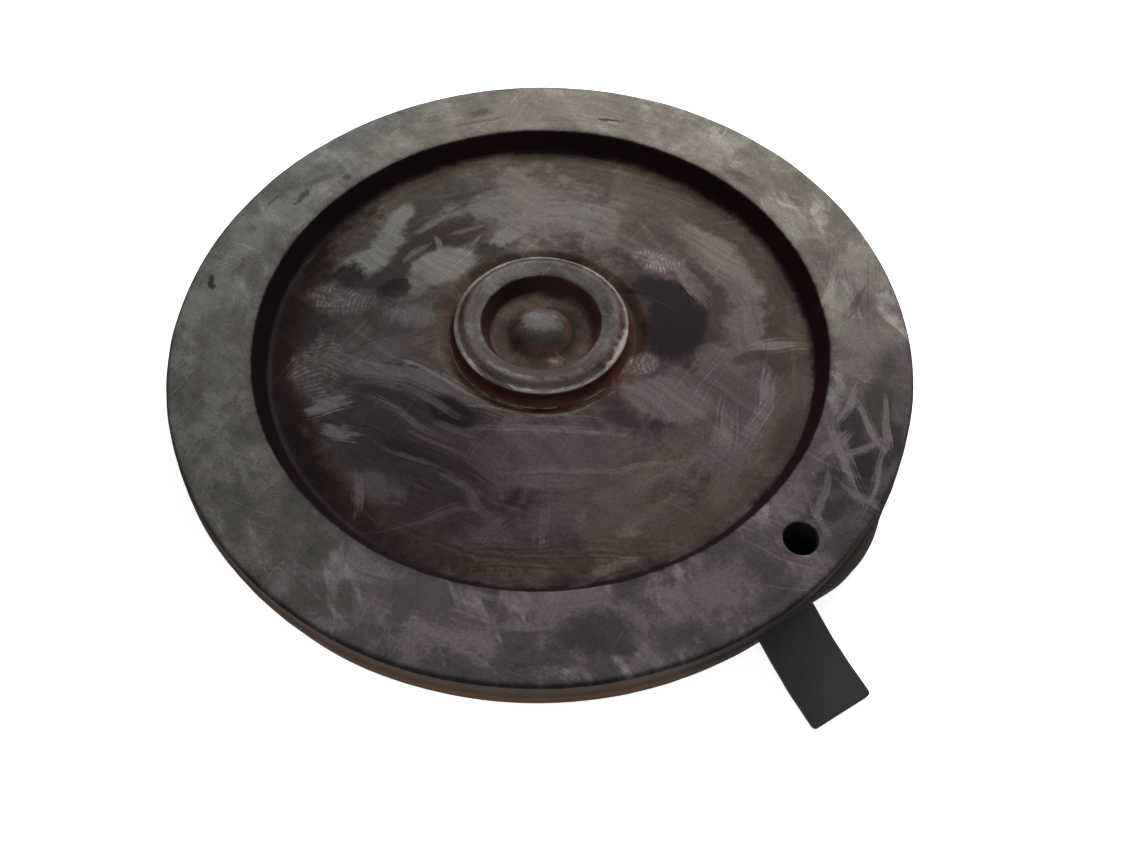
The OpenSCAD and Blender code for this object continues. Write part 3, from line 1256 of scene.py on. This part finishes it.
        # The side is duller than the face; its left is warmed by painted bounce light from an
        # orange table, and low on its left lies a painted orange reflection of that table
        side = bench.times(bench.ramp(at.parts[2], 0.100, 0.092),
                           bench.ramp(radius, *FACE_TO_SIDE))
        flank = bench.mix_colour(bench.ramp(at.parts[0], 0.2, 0.5), tint.side_left_warm_bounce,
                                 tint.side_right)
        shown = bench.mix_colour(side, shown, flank)
        # Painted reflection: the orange table shows low on the side's left, broken up by the
        # clouds.
        low = bench.times(bench.ramp(at.parts[2], 0.058, 0.050), bench.ramp(radius, 0.985, 0.995))
        low = bench.times(low, bench.ramp(at.parts[0], 0.55, 0.25))
        low = bench.times(low, bench.span(clouds, 0.38, 0.62, 1.0, 0.35))
        shown = bench.mix_colour(low, shown, tint.painted_table_reflection)
        return bench.mix_colour(1.0, bench.stops(film, self.tone.row()), shown, "MULTIPLY")

    def wall_tints_with_painted_light(self, bench: NodeBench, at: Whereabouts) -> Socket:
        """Tints the steep inner walls: the recess, the groove round the hub and the cup, with
        painted shade on the left walls of the recess and the cup and painted light on the cup's
        right wall.

        Args:
            bench: Where the nodes are laid out.
            at: Where the point lies.

        Returns:
            The tint, with its painted shade and light.
        """
        walls = self.walls
        # Painted shade: the recess wall darkens towards the left.
        shade = bench.mix_colour(bench.ramp(at.parts[0], -0.3, -0.75), walls.recess_right,
                                 walls.recess_left_painted_shade)
        shade = bench.mix_colour(bench.ramp(at.radius, 0.5, 0.4), shade, walls.groove)
        # Painted light and shade: the cup's wall is lighter on the right and darker on the left.
        cup = bench.mix_colour(bench.ramp(at.parts[0], -0.1, 0.1), walls.cup_left_painted_shade,
                               walls.cup_right_painted_light)
        return bench.mix_colour(bench.ramp(at.radius, 0.22, 0.20), shade, cup)


@dataclass(frozen=True)
class BareRubber:
    """Matte dark rubber with a fine even grain, for the tab, the passage and the underside."""

    name: str = "bare_rubber"
    dark: Rgb = (0.018, 0.0168, 0.0184)
    pale: Rgb = (0.031, 0.029, 0.0315)

    def material(self) -> bpy.types.Material:
        """Makes the material.

        Returns:
            The material of every face that the film doesn't lie on.
        """
        bench = NodeBench(bpy.data.materials.new(self.name))
        place = bench.scaled(bench.node("TexCoord").outputs["Object"],
                             (1 / (FACE_RADIUS * MM),) * 3)
        clouds = bench.grain(place, 9.0, 4.0, 0.6, flat=False)
        grain = bench.grain(place, 210.0, 2.0, 0.7, flat=False)
        share = bench.calc("ADD", bench.span(clouds, *NOISE_RANGE, 0.1, 0.65),
                           bench.span(grain, *NOISE_RANGE, -0.3, 0.35), clamp=True)
        bump = bench.node("Bump", {"Strength": 0.6, "Distance": SKIN_DEPTH, "Height": grain})
        bench.finish_with(bench.node("BsdfPrincipled", {
            "Base Color": bench.mix_colour(share, self.dark, self.pale),
            "Roughness": bench.span(grain, *NOISE_RANGE, 0.62, 0.8),
            "Normal": bump.outputs[0], "Specular IOR Level": 0.12,
        }))
        return bench.holder


Finish = FilmedRubber | BareRubber


# Each mark: x, y, half its length, half its width, turn, film, edge, cover, brush, pitch
RIM_MARKS = (
    Mark(0.020, 0.890, 0.420, 0.085, 0, 0.68, 0.9, 0.6),
    Mark(-0.225, 0.875, 0.055, 0.024, 12, 0.40, 0.8, 0.8),
    Mark(-0.205, 0.835, 0.120, 0.010, 18, 0.50, 0.8, 0.7, Brush.WIPE),
    Mark(0.208, 0.834, 0.052, 0.008, -6, 0.24, 0.6, 0.85),
    Mark(0.250, 0.770, 0.080, 0.020, -20, 0.74, 0.8, 0.7, Brush.WIPE),
    Mark(-0.740, 0.500, 0.120, 0.050, 40, 0.72, 0.9, 0.6),
    Mark(-0.725, 0.470, 0.050, 0.013, 68, 0.30, 0.6, 0.85),
    Mark(-0.690, 0.540, 0.070, 0.020, 30, 0.44, 0.8, 0.7, Brush.WIPE),
    Mark(-0.805, 0.470, 0.040, 0.010, 60, 0.38, 0.6, 0.7),
    Mark(-0.600, 0.560, 0.030, 0.018, 40, 0.34, 0.7, 0.8),
    Mark(-0.915, 0.135, 0.030, 0.011, -75, 0.12, 0.5, 0.9),
    Mark(-0.945, 0.020, 0.160, 0.030, 88, 0.66, 0.9, 0.7, Brush.WIPE),
    Mark(-0.880, 0.240, 0.130, 0.040, 60, 0.68, 0.9, 0.6, Brush.WIPE),
    Mark(-0.820, -0.020, 0.140, 0.030, 105, 0.46, 0.9, 0.6, Brush.WIPE),
    Mark(-0.760, -0.420, 0.120, 0.040, -30, 0.62, 0.9, 0.6, Brush.WIPE),
    Mark(-0.860, -0.110, 0.180, 0.060, 100, 0.58, 0.9, 0.7),
    Mark(-0.600, -0.640, 0.170, 0.060, -48, 0.44, 0.9, 0.7, Brush.WIPE),
    Mark(-0.270, -0.815, 0.190, 0.050, -18, 0.44, 0.9, 0.7, Brush.WIPE),
    Mark(-0.210, -0.880, 0.170, 0.014, -12, 0.66, 0.8, 0.8, Brush.WIPE),
    Mark(-0.090, -0.800, 0.150, 0.012, -6, 0.64, 0.8, 0.8, Brush.WIPE),
    Mark(-0.140, -0.930, 0.090, 0.010, -40, 0.66, 0.7, 0.8, Brush.WIPE),
    Mark(-0.020, -0.860, 0.130, 0.010, 4, 0.62, 0.8, 0.8, Brush.WIPE),
    Mark(0.080, -0.790, 0.170, 0.060, 5, 0.60, 0.9, 0.8),
    Mark(0.130, -0.885, 0.110, 0.066, 8, 0.26, 0.5, 0.85),
    Mark(0.040, -0.940, 0.100, 0.030, -5, 0.34, 0.7, 0.8),
    Mark(0.330, -0.880, 0.090, 0.045, 25, 0.32, 0.8, 0.8),
    Mark(0.400, -0.770, 0.190, 0.085, 33, 0.60, 0.8, 0.85),
    Mark(0.560, -0.640, 0.060, 0.030, 50, 0.42, 0.8, 0.8),
    Mark(0.560, -0.780, 0.080, 0.040, 40, 0.32, 0.7, 0.8),
    Mark(0.810, -0.400, 0.420, 0.160, 62, 0.28, 0.8, 0.82),
    Mark(0.740, -0.650, 0.075, 0.050, 48, 0.26, 0.7, 0.85, Brush.PATCH),
    Mark(0.790, -0.330, 0.080, 0.048, 66, 0.16, 0.6, 0.88, Brush.PATCH),
    Mark(0.805, -0.450, 0.100, 0.064, 62, 0.12, 0.6, 0.92),
    Mark(0.710, -0.480, 0.060, 0.038, 40, 0.20, 0.6, 0.88),
    Mark(0.700, -0.560, 0.075, 0.042, 30, 0.20, 0.6, 0.88),
    Mark(0.880, -0.390, 0.095, 0.036, 70, 0.15, 0.6, 0.88, Brush.PATCH),
    Mark(0.870, -0.260, 0.085, 0.036, 76, 0.26, 0.7, 0.85),
    Mark(0.815, -0.555, 0.070, 0.034, 56, 0.22, 0.6, 0.85),
    Mark(0.915, -0.150, 0.070, 0.026, 82, 0.34, 0.7, 0.80),
    Mark(0.755, -0.420, 0.120, 0.024, 98, 0.66, 0.6, 0.90, Brush.WIPE),
    Mark(0.835, -0.460, 0.120, 0.016, 62, 0.66, 0.6, 0.90, Brush.WIPE),
    Mark(0.730, -0.395, 0.080, 0.018, 42, 0.62, 0.6, 0.85, Brush.WIPE),
    Mark(0.845, -0.330, 0.110, 0.013, 112, 0.68, 0.6, 0.90, Brush.WIPE),
    Mark(0.765, -0.520, 0.080, 0.016, 132, 0.62, 0.6, 0.85, Brush.WIPE),
    Mark(0.820, -0.385, 0.090, 0.011, 18, 0.62, 0.6, 0.85, Brush.WIPE),
    Mark(0.690, -0.520, 0.090, 0.013, 70, 0.58, 0.6, 0.85, Brush.WIPE),
    Mark(0.885, -0.340, 0.090, 0.011, 86, 0.66, 0.6, 0.85, Brush.WIPE),
    Mark(0.790, -0.270, 0.090, 0.014, 58, 0.66, 0.6, 0.85, Brush.WIPE),
    Mark(0.680, -0.600, 0.090, 0.012, 112, 0.58, 0.6, 0.80, Brush.WIPE),
    Mark(0.860, -0.070, 0.160, 0.070, 84, 0.60, 0.9, 0.7),
    Mark(0.890, 0.190, 0.200, 0.070, 80, 0.78, 0.8, 0.8, Brush.WIPE),
    Mark(0.800, 0.130, 0.120, 0.014, 62, 0.84, 0.6, 0.8, Brush.WIPE),
    Mark(0.870, 0.080, 0.070, 0.018, 50, 0.40, 0.7, 0.8, Brush.WIPE),
    Mark(0.720, 0.440, 0.120, 0.050, 118, 0.80, 0.8, 0.8, Brush.WIPE),
    Mark(0.480, 0.720, 0.160, 0.060, -40, 0.80, 0.9, 0.6),
    Mark(0.600, 0.560, 0.060, 0.030, 140, 0.40, 0.8, 0.7, Brush.WIPE),
)

HUB_MARKS = (
    Mark(0.000, -0.085, 0.110, 0.040, 0, 0.38, 0.8, 0.85),
    Mark(0.002, 0.004, 0.076, 0.050, 0, 0.64, 0.6, 0.90),
    Mark(-0.008, -0.052, 0.050, 0.018, 0, 0.26, 0.8, 0.75),
    Mark(-0.110, -0.030, 0.050, 0.070, 0, 0.24, 0.9, 0.70),
    Mark(0.010, 0.105, 0.090, 0.026, 0, 0.50, 0.8, 0.80),
    # Painted highlight: a pale spot of thick film where a glint lies on the near floor of the cup.
    Mark(0.036, -0.098, 0.038, 0.022, 15, 0.84, 1.0, 0.85),
    # Painted light and shade: the crest's far half takes thicker, paler film than its near half.
    Mark(0.186, 90.0, 100.0, 0.026, 0, 0.72, 0.7, 0.80, Brush.ARC),
    Mark(0.178, -96.0, 90.0, 0.024, 0, 0.30, 0.7, 0.80, Brush.ARC),
    Mark(0.211, -110.0, 95.0, 0.020, 0, 0.72, 0.6, 0.92, Brush.ARC),
    Mark(0.240, -90.0, 105.0, 0.024, 0, 1.00, 0.5, 0.95, Brush.ARC),
    Mark(-0.180, 0.060, 0.070, 0.018, 70, 0.44, 0.8, 0.80, Brush.WIPE),
    Mark(-0.120, -0.190, 0.070, 0.022, -40, 0.40, 0.8, 0.80, Brush.WIPE),
    Mark(0.130, -0.170, 0.080, 0.024, 40, 0.58, 0.8, 0.80, Brush.WIPE),
    Mark(0.200, 0.060, 0.080, 0.020, 105, 0.60, 0.8, 0.80, Brush.WIPE),
)

WEB_MARKS = (
    # The first two arcs make the web black round the foot of the recess wall, on the left and the
    # near side.
    Mark(0.740, 168.0, 44.0, 0.115, 0, 0.00, 0.6, 0.98, Brush.ARC),
    Mark(0.740, -155.0, 62.0, 0.115, 0, 0.00, 0.6, 0.98, Brush.ARC),
    Mark(-0.610, -0.050, 0.460, 0.240, 90, 0.05, 0.9, 0.92),
    Mark(-0.340, -0.480, 0.360, 0.220, -38, 0.12, 0.9, 0.85),
    Mark(0.100, 0.440, 0.540, 0.280, -4, 0.66, 0.8, 0.92),
    Mark(0.340, 0.420, 0.250, 0.160, -38, 0.52, 0.8, 0.80),
    Mark(-0.170, 0.480, 0.220, 0.090, 30, 0.64, 0.7, 0.85),
    Mark(0.310, 0.360, 0.120, 0.095, 0, 0.34, 0.7, 0.85),
    Mark(0.330, 0.370, 0.100, 0.012, -62, 0.60, 0.6, 0.85, Brush.WIPE),
    Mark(0.270, 0.350, 0.080, 0.010, -38, 0.56, 0.6, 0.85, Brush.WIPE),
    Mark(0.415, 0.390, 0.130, 0.020, 106, 0.66, 0.6, 0.85, Brush.WIPE),
    Mark(-0.440, 0.230, 0.270, 0.170, 52, 0.15, 0.5, 0.88),
    Mark(-0.290, 0.360, 0.170, 0.095, 25, 0.14, 0.5, 0.88),
    Mark(-0.440, 0.435, 0.095, 0.040, 76, 0.70, 0.5, 0.95, Brush.PATCH),
    Mark(-0.475, 0.330, 0.135, 0.076, 66, 0.64, 0.5, 0.92),
    Mark(-0.530, 0.255, 0.125, 0.070, 38, 0.64, 0.5, 0.95, Brush.PATCH),
    Mark(-0.340, 0.420, 0.100, 0.014, 42, 0.58, 0.6, 0.85, Brush.WIPE),
    Mark(-0.310, 0.330, 0.055, 0.012, 112, 0.60, 0.6, 0.85, Brush.WIPE),
    Mark(-0.230, 0.390, 0.070, 0.012, 20, 0.52, 0.6, 0.85, Brush.WIPE),
    Mark(-0.200, 0.330, 0.045, 0.010, 64, 0.56, 0.6, 0.85, Brush.WIPE),
    Mark(-0.370, 0.290, 0.070, 0.014, 50, 0.50, 0.6, 0.85, Brush.WIPE),
    Mark(-0.120, 0.340, 0.065, 0.042, 20, 0.72, 0.6, 0.85),
    Mark(-0.285, 0.230, 0.122, 0.082, 32, 0.70, 0.35, 0.95, Brush.PATCH),
    Mark(-0.375, 0.145, 0.090, 0.054, 35, 0.60, 0.5, 0.90, Brush.PATCH),
    Mark(-0.442, 0.150, 0.066, 0.046, 10, 0.04, 0.3, 0.95),
    Mark(-0.580, 0.200, 0.085, 0.060, 20, 0.04, 0.4, 0.95),
    Mark(-0.440, 0.020, 0.240, 0.170, 0, 0.28, 0.7, 0.88),
    Mark(-0.370, 0.055, 0.130, 0.050, -5, 0.54, 0.7, 0.85),
    Mark(-0.420, -0.070, 0.150, 0.060, 20, 0.42, 0.7, 0.85, Brush.WIPE),
    Mark(-0.510, -0.030, 0.110, 0.036, 50, 0.42, 0.7, 0.80, Brush.WIPE),
    Mark(-0.450, -0.130, 0.120, 0.040, -12, 0.44, 0.7, 0.80, Brush.WIPE),
    Mark(-0.480, 0.050, 0.080, 0.030, 110, 0.18, 0.7, 0.70, Brush.WIPE),
    Mark(-0.520, -0.200, 0.120, 0.036, 30, 0.36, 0.7, 0.80, Brush.WIPE),
    Mark(-0.565, 0.120, 0.080, 0.125, 78, 0.50, 0.5, 0.85, Brush.FINGER, 0.0115),
    Mark(-0.600, -0.110, 0.090, 0.125, 0, 0.46, 0.5, 0.85, Brush.FINGER, 0.0120),
    Mark(0.285, 0.060, 0.210, 0.120, 84, 0.17, 0.5, 0.92, Brush.PATCH),
    Mark(0.378, 0.040, 0.172, 0.104, 70, 0.00, 0.30, 0.98, Brush.PATCH),
    Mark(0.335, 0.140, 0.090, 0.058, -30, 0.02, 0.30, 0.95),
    Mark(0.340, 0.250, 0.072, 0.120, 76, 0.72, 0.5, 0.90, Brush.FINGER, 0.0125),
    Mark(0.425, 0.175, 0.080, 0.034, 128, 0.60, 0.4, 0.90, Brush.WIPE),
    Mark(0.610, 20.0, 60.0, 0.160, 0, 0.26, 0.7, 0.85, Brush.ARC),
    Mark(0.600, 24.0, 30.0, 0.074, 0, 0.55, 0.4, 0.90, Brush.ARC),
    Mark(0.570, 0.020, 0.180, 0.080, 72, 0.56, 0.5, 0.90),
    Mark(0.490, -0.110, 0.190, 0.090, 40, 0.54, 0.5, 0.90),
    Mark(0.615, 26.0, 24.0, 0.040, 0, 0.67, 0.7, 0.80, Brush.ARC),
    Mark(0.440, -0.260, 0.370, 0.190, 18, 0.44, 0.5, 0.90),
    Mark(0.700, -0.170, 0.120, 0.055, 72, 0.42, 0.7, 0.85),
    Mark(0.645, -0.340, 0.190, 0.055, 62, 0.24, 0.8, 0.88),
    Mark(0.335, -0.232, 0.140, 0.080, -6, 0.60, 0.25, 0.85, Brush.PATCH),
    Mark(0.275, -0.115, 0.042, 0.052, 90, 0.62, 0.5, 0.90, Brush.FINGER, 0.0120),
    Mark(0.560, -0.085, 0.070, 0.026, 18, 0.26, 0.5, 0.85, Brush.PATCH),
    Mark(0.630, -0.045, 0.115, 0.024, 12, 0.68, 0.7, 0.88, Brush.WIPE),
    Mark(0.605, -0.170, 0.090, 0.032, 80, 0.66, 0.7, 0.85, Brush.WIPE),
    Mark(0.475, -0.360, 0.150, 0.045, 80, 0.66, 0.6, 0.85, Brush.WIPE),
    Mark(0.560, -0.300, 0.150, 0.030, 60, 0.60, 0.7, 0.85, Brush.WIPE),
    Mark(0.120, -0.400, 0.520, 0.190, -3, 0.46, 0.8, 0.85),
    Mark(0.330, -0.440, 0.260, 0.034, 22, 0.54, 0.8, 0.70, Brush.WIPE),
    Mark(0.190, -0.540, 0.220, 0.036, 6, 0.48, 0.8, 0.70, Brush.WIPE),
    Mark(0.480, -0.440, 0.160, 0.034, 46, 0.50, 0.8, 0.70, Brush.WIPE),
    Mark(0.340, -0.460, 0.170, 0.090, 20, 0.52, 0.9, 0.85),
    Mark(0.010, -0.480, 0.180, 0.080, 0, 0.50, 0.9, 0.85),
    Mark(0.060, -0.335, 0.340, 0.016, -2, 0.62, 0.8, 0.80, Brush.WIPE),
    Mark(0.180, -0.430, 0.300, 0.016, 4, 0.60, 0.8, 0.80, Brush.WIPE),
    Mark(0.200, -0.290, 0.055, 0.030, -10, 0.16, 0.6, 0.85, Brush.PATCH),
    Mark(-0.270, -0.190, 0.360, 0.060, -20, 0.52, 0.7, 0.85, Brush.WIPE),
    Mark(-0.110, -0.225, 0.190, 0.008, -24, 0.72, 0.5, 0.85, Brush.WIPE),
    Mark(-0.250, -0.175, 0.180, 0.007, -30, 0.70, 0.5, 0.85, Brush.WIPE),
    Mark(-0.050, -0.270, 0.250, 0.008, -9, 0.62, 0.5, 0.85, Brush.WIPE),
    Mark(-0.320, -0.340, 0.250, 0.120, -24, 0.16, 0.8, 0.88),
    Mark(-0.400, -0.230, 0.170, 0.030, -28, 0.10, 0.7, 0.85, Brush.WIPE),
    Mark(-0.330, -0.390, 0.200, 0.034, -24, 0.06, 0.7, 0.85, Brush.WIPE),
    Mark(-0.230, -0.430, 0.150, 0.026, -30, 0.12, 0.7, 0.80, Brush.WIPE),
    Mark(-0.235, -0.272, 0.096, 0.056, -32, 0.02, 0.4, 0.96, Brush.PATCH),
    Mark(-0.290, -0.235, 0.130, 0.022, -30, 0.40, 0.7, 0.85, Brush.WIPE),
    Mark(-0.330, -0.300, 0.150, 0.018, -32, 0.42, 0.7, 0.80, Brush.WIPE),
    Mark(-0.210, -0.330, 0.110, 0.016, -26, 0.40, 0.7, 0.80, Brush.WIPE),
    Mark(-0.260, -0.370, 0.140, 0.008, -28, 0.38, 0.5, 0.80, Brush.WIPE),
    Mark(-0.340, -0.400, 0.120, 0.008, -24, 0.38, 0.5, 0.80, Brush.WIPE),
    Mark(-0.560, -0.240, 0.070, 0.040, 10, 0.58, 0.5, 0.90, Brush.WIPE),
    Mark(-0.520, -0.330, 0.060, 0.026, -20, 0.58, 0.5, 0.85, Brush.WIPE),
    Mark(-0.400, -0.470, 0.120, 0.050, -20, 0.42, 0.7, 0.80),
    Mark(-0.240, -0.560, 0.170, 0.024, 14, 0.38, 0.8, 0.75, Brush.WIPE),
    Mark(-0.180, -0.500, 0.130, 0.020, -34, 0.44, 0.8, 0.75, Brush.WIPE),
    Mark(-0.120, -0.600, 0.150, 0.022, 40, 0.40, 0.8, 0.75, Brush.WIPE),
    Mark(-0.440, -0.500, 0.060, 0.020, 96, 0.54, 0.6, 0.80, Brush.WIPE),
    Mark(0.060, -0.560, 0.260, 0.110, 4, 0.44, 0.9, 0.85),
    Mark(0.010, -0.590, 0.070, 0.030, 92, 0.52, 0.7, 0.80, Brush.WIPE),
    Mark(0.110, -0.570, 0.050, 0.016, 70, 0.54, 0.6, 0.80, Brush.WIPE),
    Mark(0.400, -0.540, 0.260, 0.140, 35, 0.42, 0.9, 0.80),
    Mark(-0.120, -0.670, 0.320, 0.045, 0, 0.18, 0.7, 0.80, Brush.WIPE),
    Mark(0.285, -75.0, 42.0, 0.006, 0, 0.60, 0.6, 0.80, Brush.ARC),
    Mark(0.690, -102.0, 30.0, 0.008, 0, 0.42, 0.8, 0.60, Brush.ARC),
    Mark(0.665, -85.0, 30.0, 0.010, 0, 0.40, 0.8, 0.60, Brush.ARC),
)


@dataclass
class Diaphragm:
    """The whole moulded piece.

    Args:
        disc: Rim, web, hub and boss.
        swelling: The swelling beside the passage.
        tab: The locating tab.
        passage: The water passage.
        finishes: The finish of each zone.
        hub_edge: Radius up to which the hub's finish reaches.
        web_edge: Radius up to which the web's finish reaches.
        boss_reach: Radius within which the flank of the boss lies.
        boss_top: Height under which it lies.
        wall_slope: Greatest upward part of the direction of a face that counts as a wall.
        crease: Angle between faces above which their edge stays sharp.
    """

    disc: TurnedDisc
    swelling: Swelling
    tab: LocatingTab
    passage: WaterPassage
    finishes: dict[Zone, Finish]
    hub_edge: float = 9.3
    web_edge: float = 27.9
    boss_reach: float = 12.0
    boss_top: float = 1.5
    wall_slope: float = 0.5
    crease: float = math.radians(38)

    def build(self) -> bpy.types.Object:
        """Turns, welds, bores and dresses the piece.

        Returns:
            The finished piece, in metres.
        """
        piece = self.disc.build(self.swelling)
        join(piece, self.tab.build(), Joinery.WELD)
        join(piece, self.passage.cutter(), Joinery.BORE)
        self.dress(piece)
        piece.data.transform(Matrix.Scale(MM, 4))
        return piece

    def dress(self, piece: bpy.types.Object) -> None:
        """Shades the piece smoothly and gives each face its finish.

        Args:
            piece: The piece, still in millimetres.
        """
        mesh = piece.data
        mesh.materials.clear()
        for zone in Zone:
            mesh.materials.append(self.finishes[zone].material())
        for face in mesh.polygons:
            face.material_index = self.zone_of(face.center, face.normal).value
        mesh.shade_smooth()
        mesh.set_sharp_from_angle(angle=self.crease)

    def zone_of(self, place: Vector, facing: Vector) -> Zone:
        """Finds the zone that a face belongs to.

        Args:
            place: Middle of the face.
            facing: Its direction.

        Returns:
            The zone.
        """
        if self.passage.holds(place) and abs(facing.z) < self.wall_slope:
            return Zone.PASSAGE
        radius = place.xy.length
        boss_flank = place.z < self.boss_top and radius < self.boss_reach
        if self.tab.holds(place) or boss_flank or facing.z < -self.wall_slope:
            return Zone.BARE
        if radius < self.hub_edge:
            return Zone.HUB
        return Zone.WEB if radius < self.web_edge else Zone.RIM


@dataclass(frozen=True)
class Lamp:
    """One soft square lamp.

    Args:
        name: Its name.
        spot: Where it hangs, in disc radii as the camera sees the disc.
        aim: Where it points.
        size: Side of its face in metres.
        power: Its power in watts.
    """

    name: str
    spot: Triple
    aim: Triple
    size: float
    power: float

    def hang(self) -> None:
        """Hangs the lamp."""
        light = bpy.data.lights.new(self.name, "AREA")
        light.shape = "SQUARE"
        light.size = self.size
        light.energy = self.power
        holder = bpy.data.objects.new(self.name, light)
        spot, aim = self.in_frame(self.spot), self.in_frame(self.aim)
        holder.location = spot
        holder.rotation_euler = (aim - spot).to_track_quat("-Z", "Y").to_euler()
        bpy.context.scene.collection.objects.link(holder)

    @staticmethod
    def in_frame(place: Triple) -> Vector:
        """Turns a place in disc radii, as the camera sees it, into the part's frame.

        Args:
            place: To the right, away and up.

        Returns:
            The place in metres.
        """
        spot = Vector(place) * FACE_RADIUS * MM
        spot.rotate(Euler((0, 0, -CAMERA_TURN)))
        return spot


@dataclass
class Studio:
    """Pale floor, white surroundings and soft lamps, in metres.

    Args:
        floor_size: Side of the floor.
        floor_drop: How far the floor lies under the piece, so that the two never coincide.
        covered: Radii over which the floor turns from covered, and painted dark as shade, to open,
            and pale.
        open_glow: Glow of the open floor, which leaves room for the piece's shadow.
        far: Radii over which the floor turns quite white.
        sky: Light that the surroundings shed on the piece.
        lamps: The lamps.
    """

    floor_size: float = 1.6
    floor_drop: float = 0.00002
    covered: tuple[float, float] = (0.0352, 0.0356)
    open_glow: float = 0.80
    far: tuple[float, float] = (0.05, 0.10)
    sky: float = 0.10
    lamps: tuple[Lamp, ...] = (
        Lamp("window", (1.3, 3.2, 2.6), (0, 0.2, 0), 0.14, 0.50),
        Lamp("room", (-0.5, -3.4, 3.4), (0, 0, 0), 0.2, 0.09),
    )

    def floor(self) -> None:
        """Lays the floor, which shows white to the camera and keeps the piece's shadow."""
        bm = bmesh.new()
        bmesh.ops.create_grid(bm, x_segments=1, y_segments=1, size=self.floor_size / 2)
        bmesh.ops.translate(bm, vec=(0, 0, -self.floor_drop), verts=bm.verts)
        ground = stand_up(bm, "floor")
        bench = NodeBench(bpy.data.materials.new("pale_floor"))
        away = bench.length(bench.node("TexCoord").outputs["Object"])
        clear = bench.plus(bench.span(away, *self.covered, 0, self.open_glow),
                           bench.span(away, *self.far, 0, 1 - self.open_glow))
        # Painted shade: under the piece, where only the water passage shows it, the floor is near
        # black.
        shade = bench.mix_colour(bench.span(away, *self.covered), (0.01, 0.01, 0.01),
                                 (0.8, 0.8, 0.8))
        matte = bench.node("BsdfDiffuse", {"Color": shade})
        strength = bench.times(bench.backdrop_rays(), clear)
        glow = bench.node("Emission", {"Color": WHITE, "Strength": strength})
        bench.finish_with(bench.node("AddShader", {0: matte.outputs[0], 1: glow.outputs[0]}))
        ground.data.materials.append(bench.holder)

    def surroundings(self) -> None:
        """Sets white surroundings that light the piece only a little."""
        bench = NodeBench(bpy.data.worlds.new("surroundings"))
        white = bench.node("Background", {"Color": WHITE, "Strength": 1.0})
        dim = bench.node("Background", {"Color": WHITE, "Strength": self.sky})
        choice = bench.node("MixShader", {0: bench.backdrop_rays(), 1: dim.outputs[0],
                                          2: white.outputs[0]})
        bench.finish_with(choice, "OutputWorld")
        bpy.context.scene.world = bench.holder

    def set_up(self) -> None:
        """Sets floor, surroundings and lamps."""
        self.floor()
        self.surroundings()
        for lamp in self.lamps:
            lamp.hang()
        bpy.context.scene.view_settings.view_transform = "Standard"


@dataclass
class PhotoCamera:
    """Camera at the photograph's place, in millimetres of the part's frame.

    Args:
        place: Where it stands.
        aim: Where it points.
        lens: Its focal length for a sensor 36 mm wide.
        roll: How far it is turned about its own axis.
        clip: Nearest and farthest distance that it sees, in metres.
    """

    place: Triple = (-38.26, -42.56, 75.24)
    aim: Triple = (-6.65, -9.83, 4.10)
    lens: float = 29.19
    roll: float = math.radians(0.406)
    clip: tuple[float, float] = (0.005, 10.0)

    def set_up(self) -> None:
        """Sets the camera and makes it the scene's own."""
        camera = bpy.data.cameras.new("photo_camera")
        camera.lens = self.lens
        camera.sensor_width = 36.0
        camera.sensor_fit = "HORIZONTAL"
        camera.clip_start, camera.clip_end = self.clip
        holder = bpy.data.objects.new("photo_camera", camera)
        spot, aim = Vector(self.place) * MM, Vector(self.aim) * MM
        view = (aim - spot).to_track_quat("-Z", "Y").to_matrix().to_4x4()
        holder.matrix_world = Matrix.Translation(spot) @ view @ Matrix.Rotation(self.roll, 4, "Z")
        bpy.context.scene.collection.objects.link(holder)
        bpy.context.scene.camera = holder


def main() -> None:
    """Builds the piece and the studio."""
    logging.basicConfig(level=logging.INFO, format="%(name)s: %(message)s")
    diaphragm = Diaphragm(
        disc=TurnedDisc(),
        swelling=Swelling(),
        tab=LocatingTab(),
        passage=WaterPassage.from_record(frame["record"]),
        finishes={
            Zone.RIM: FilmedRubber("rim_film", RIM_MARKS, 6.5, (68,)),
            Zone.WEB: FilmedRubber("web_film", WEB_MARKS, 4.6, (-14,)),
            Zone.HUB: FilmedRubber("hub_film", HUB_MARKS),
            Zone.BARE: BareRubber(),
            Zone.PASSAGE: BareRubber("passage_rubber", (0.006, 0.005, 0.0055),
                                     (0.010, 0.009, 0.0095)),
        },
    )
    piece = diaphragm.build()
    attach(piece, "root")
    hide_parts("diaphragm")
    LOG.info("%s: %d faces, %d marks in its film", piece.name, len(piece.data.polygons),
             len(RIM_MARKS + WEB_MARKS + HUB_MARKS))
    Studio().set_up()
    PhotoCamera().set_up()


if __name__ == "__main__":
    main()
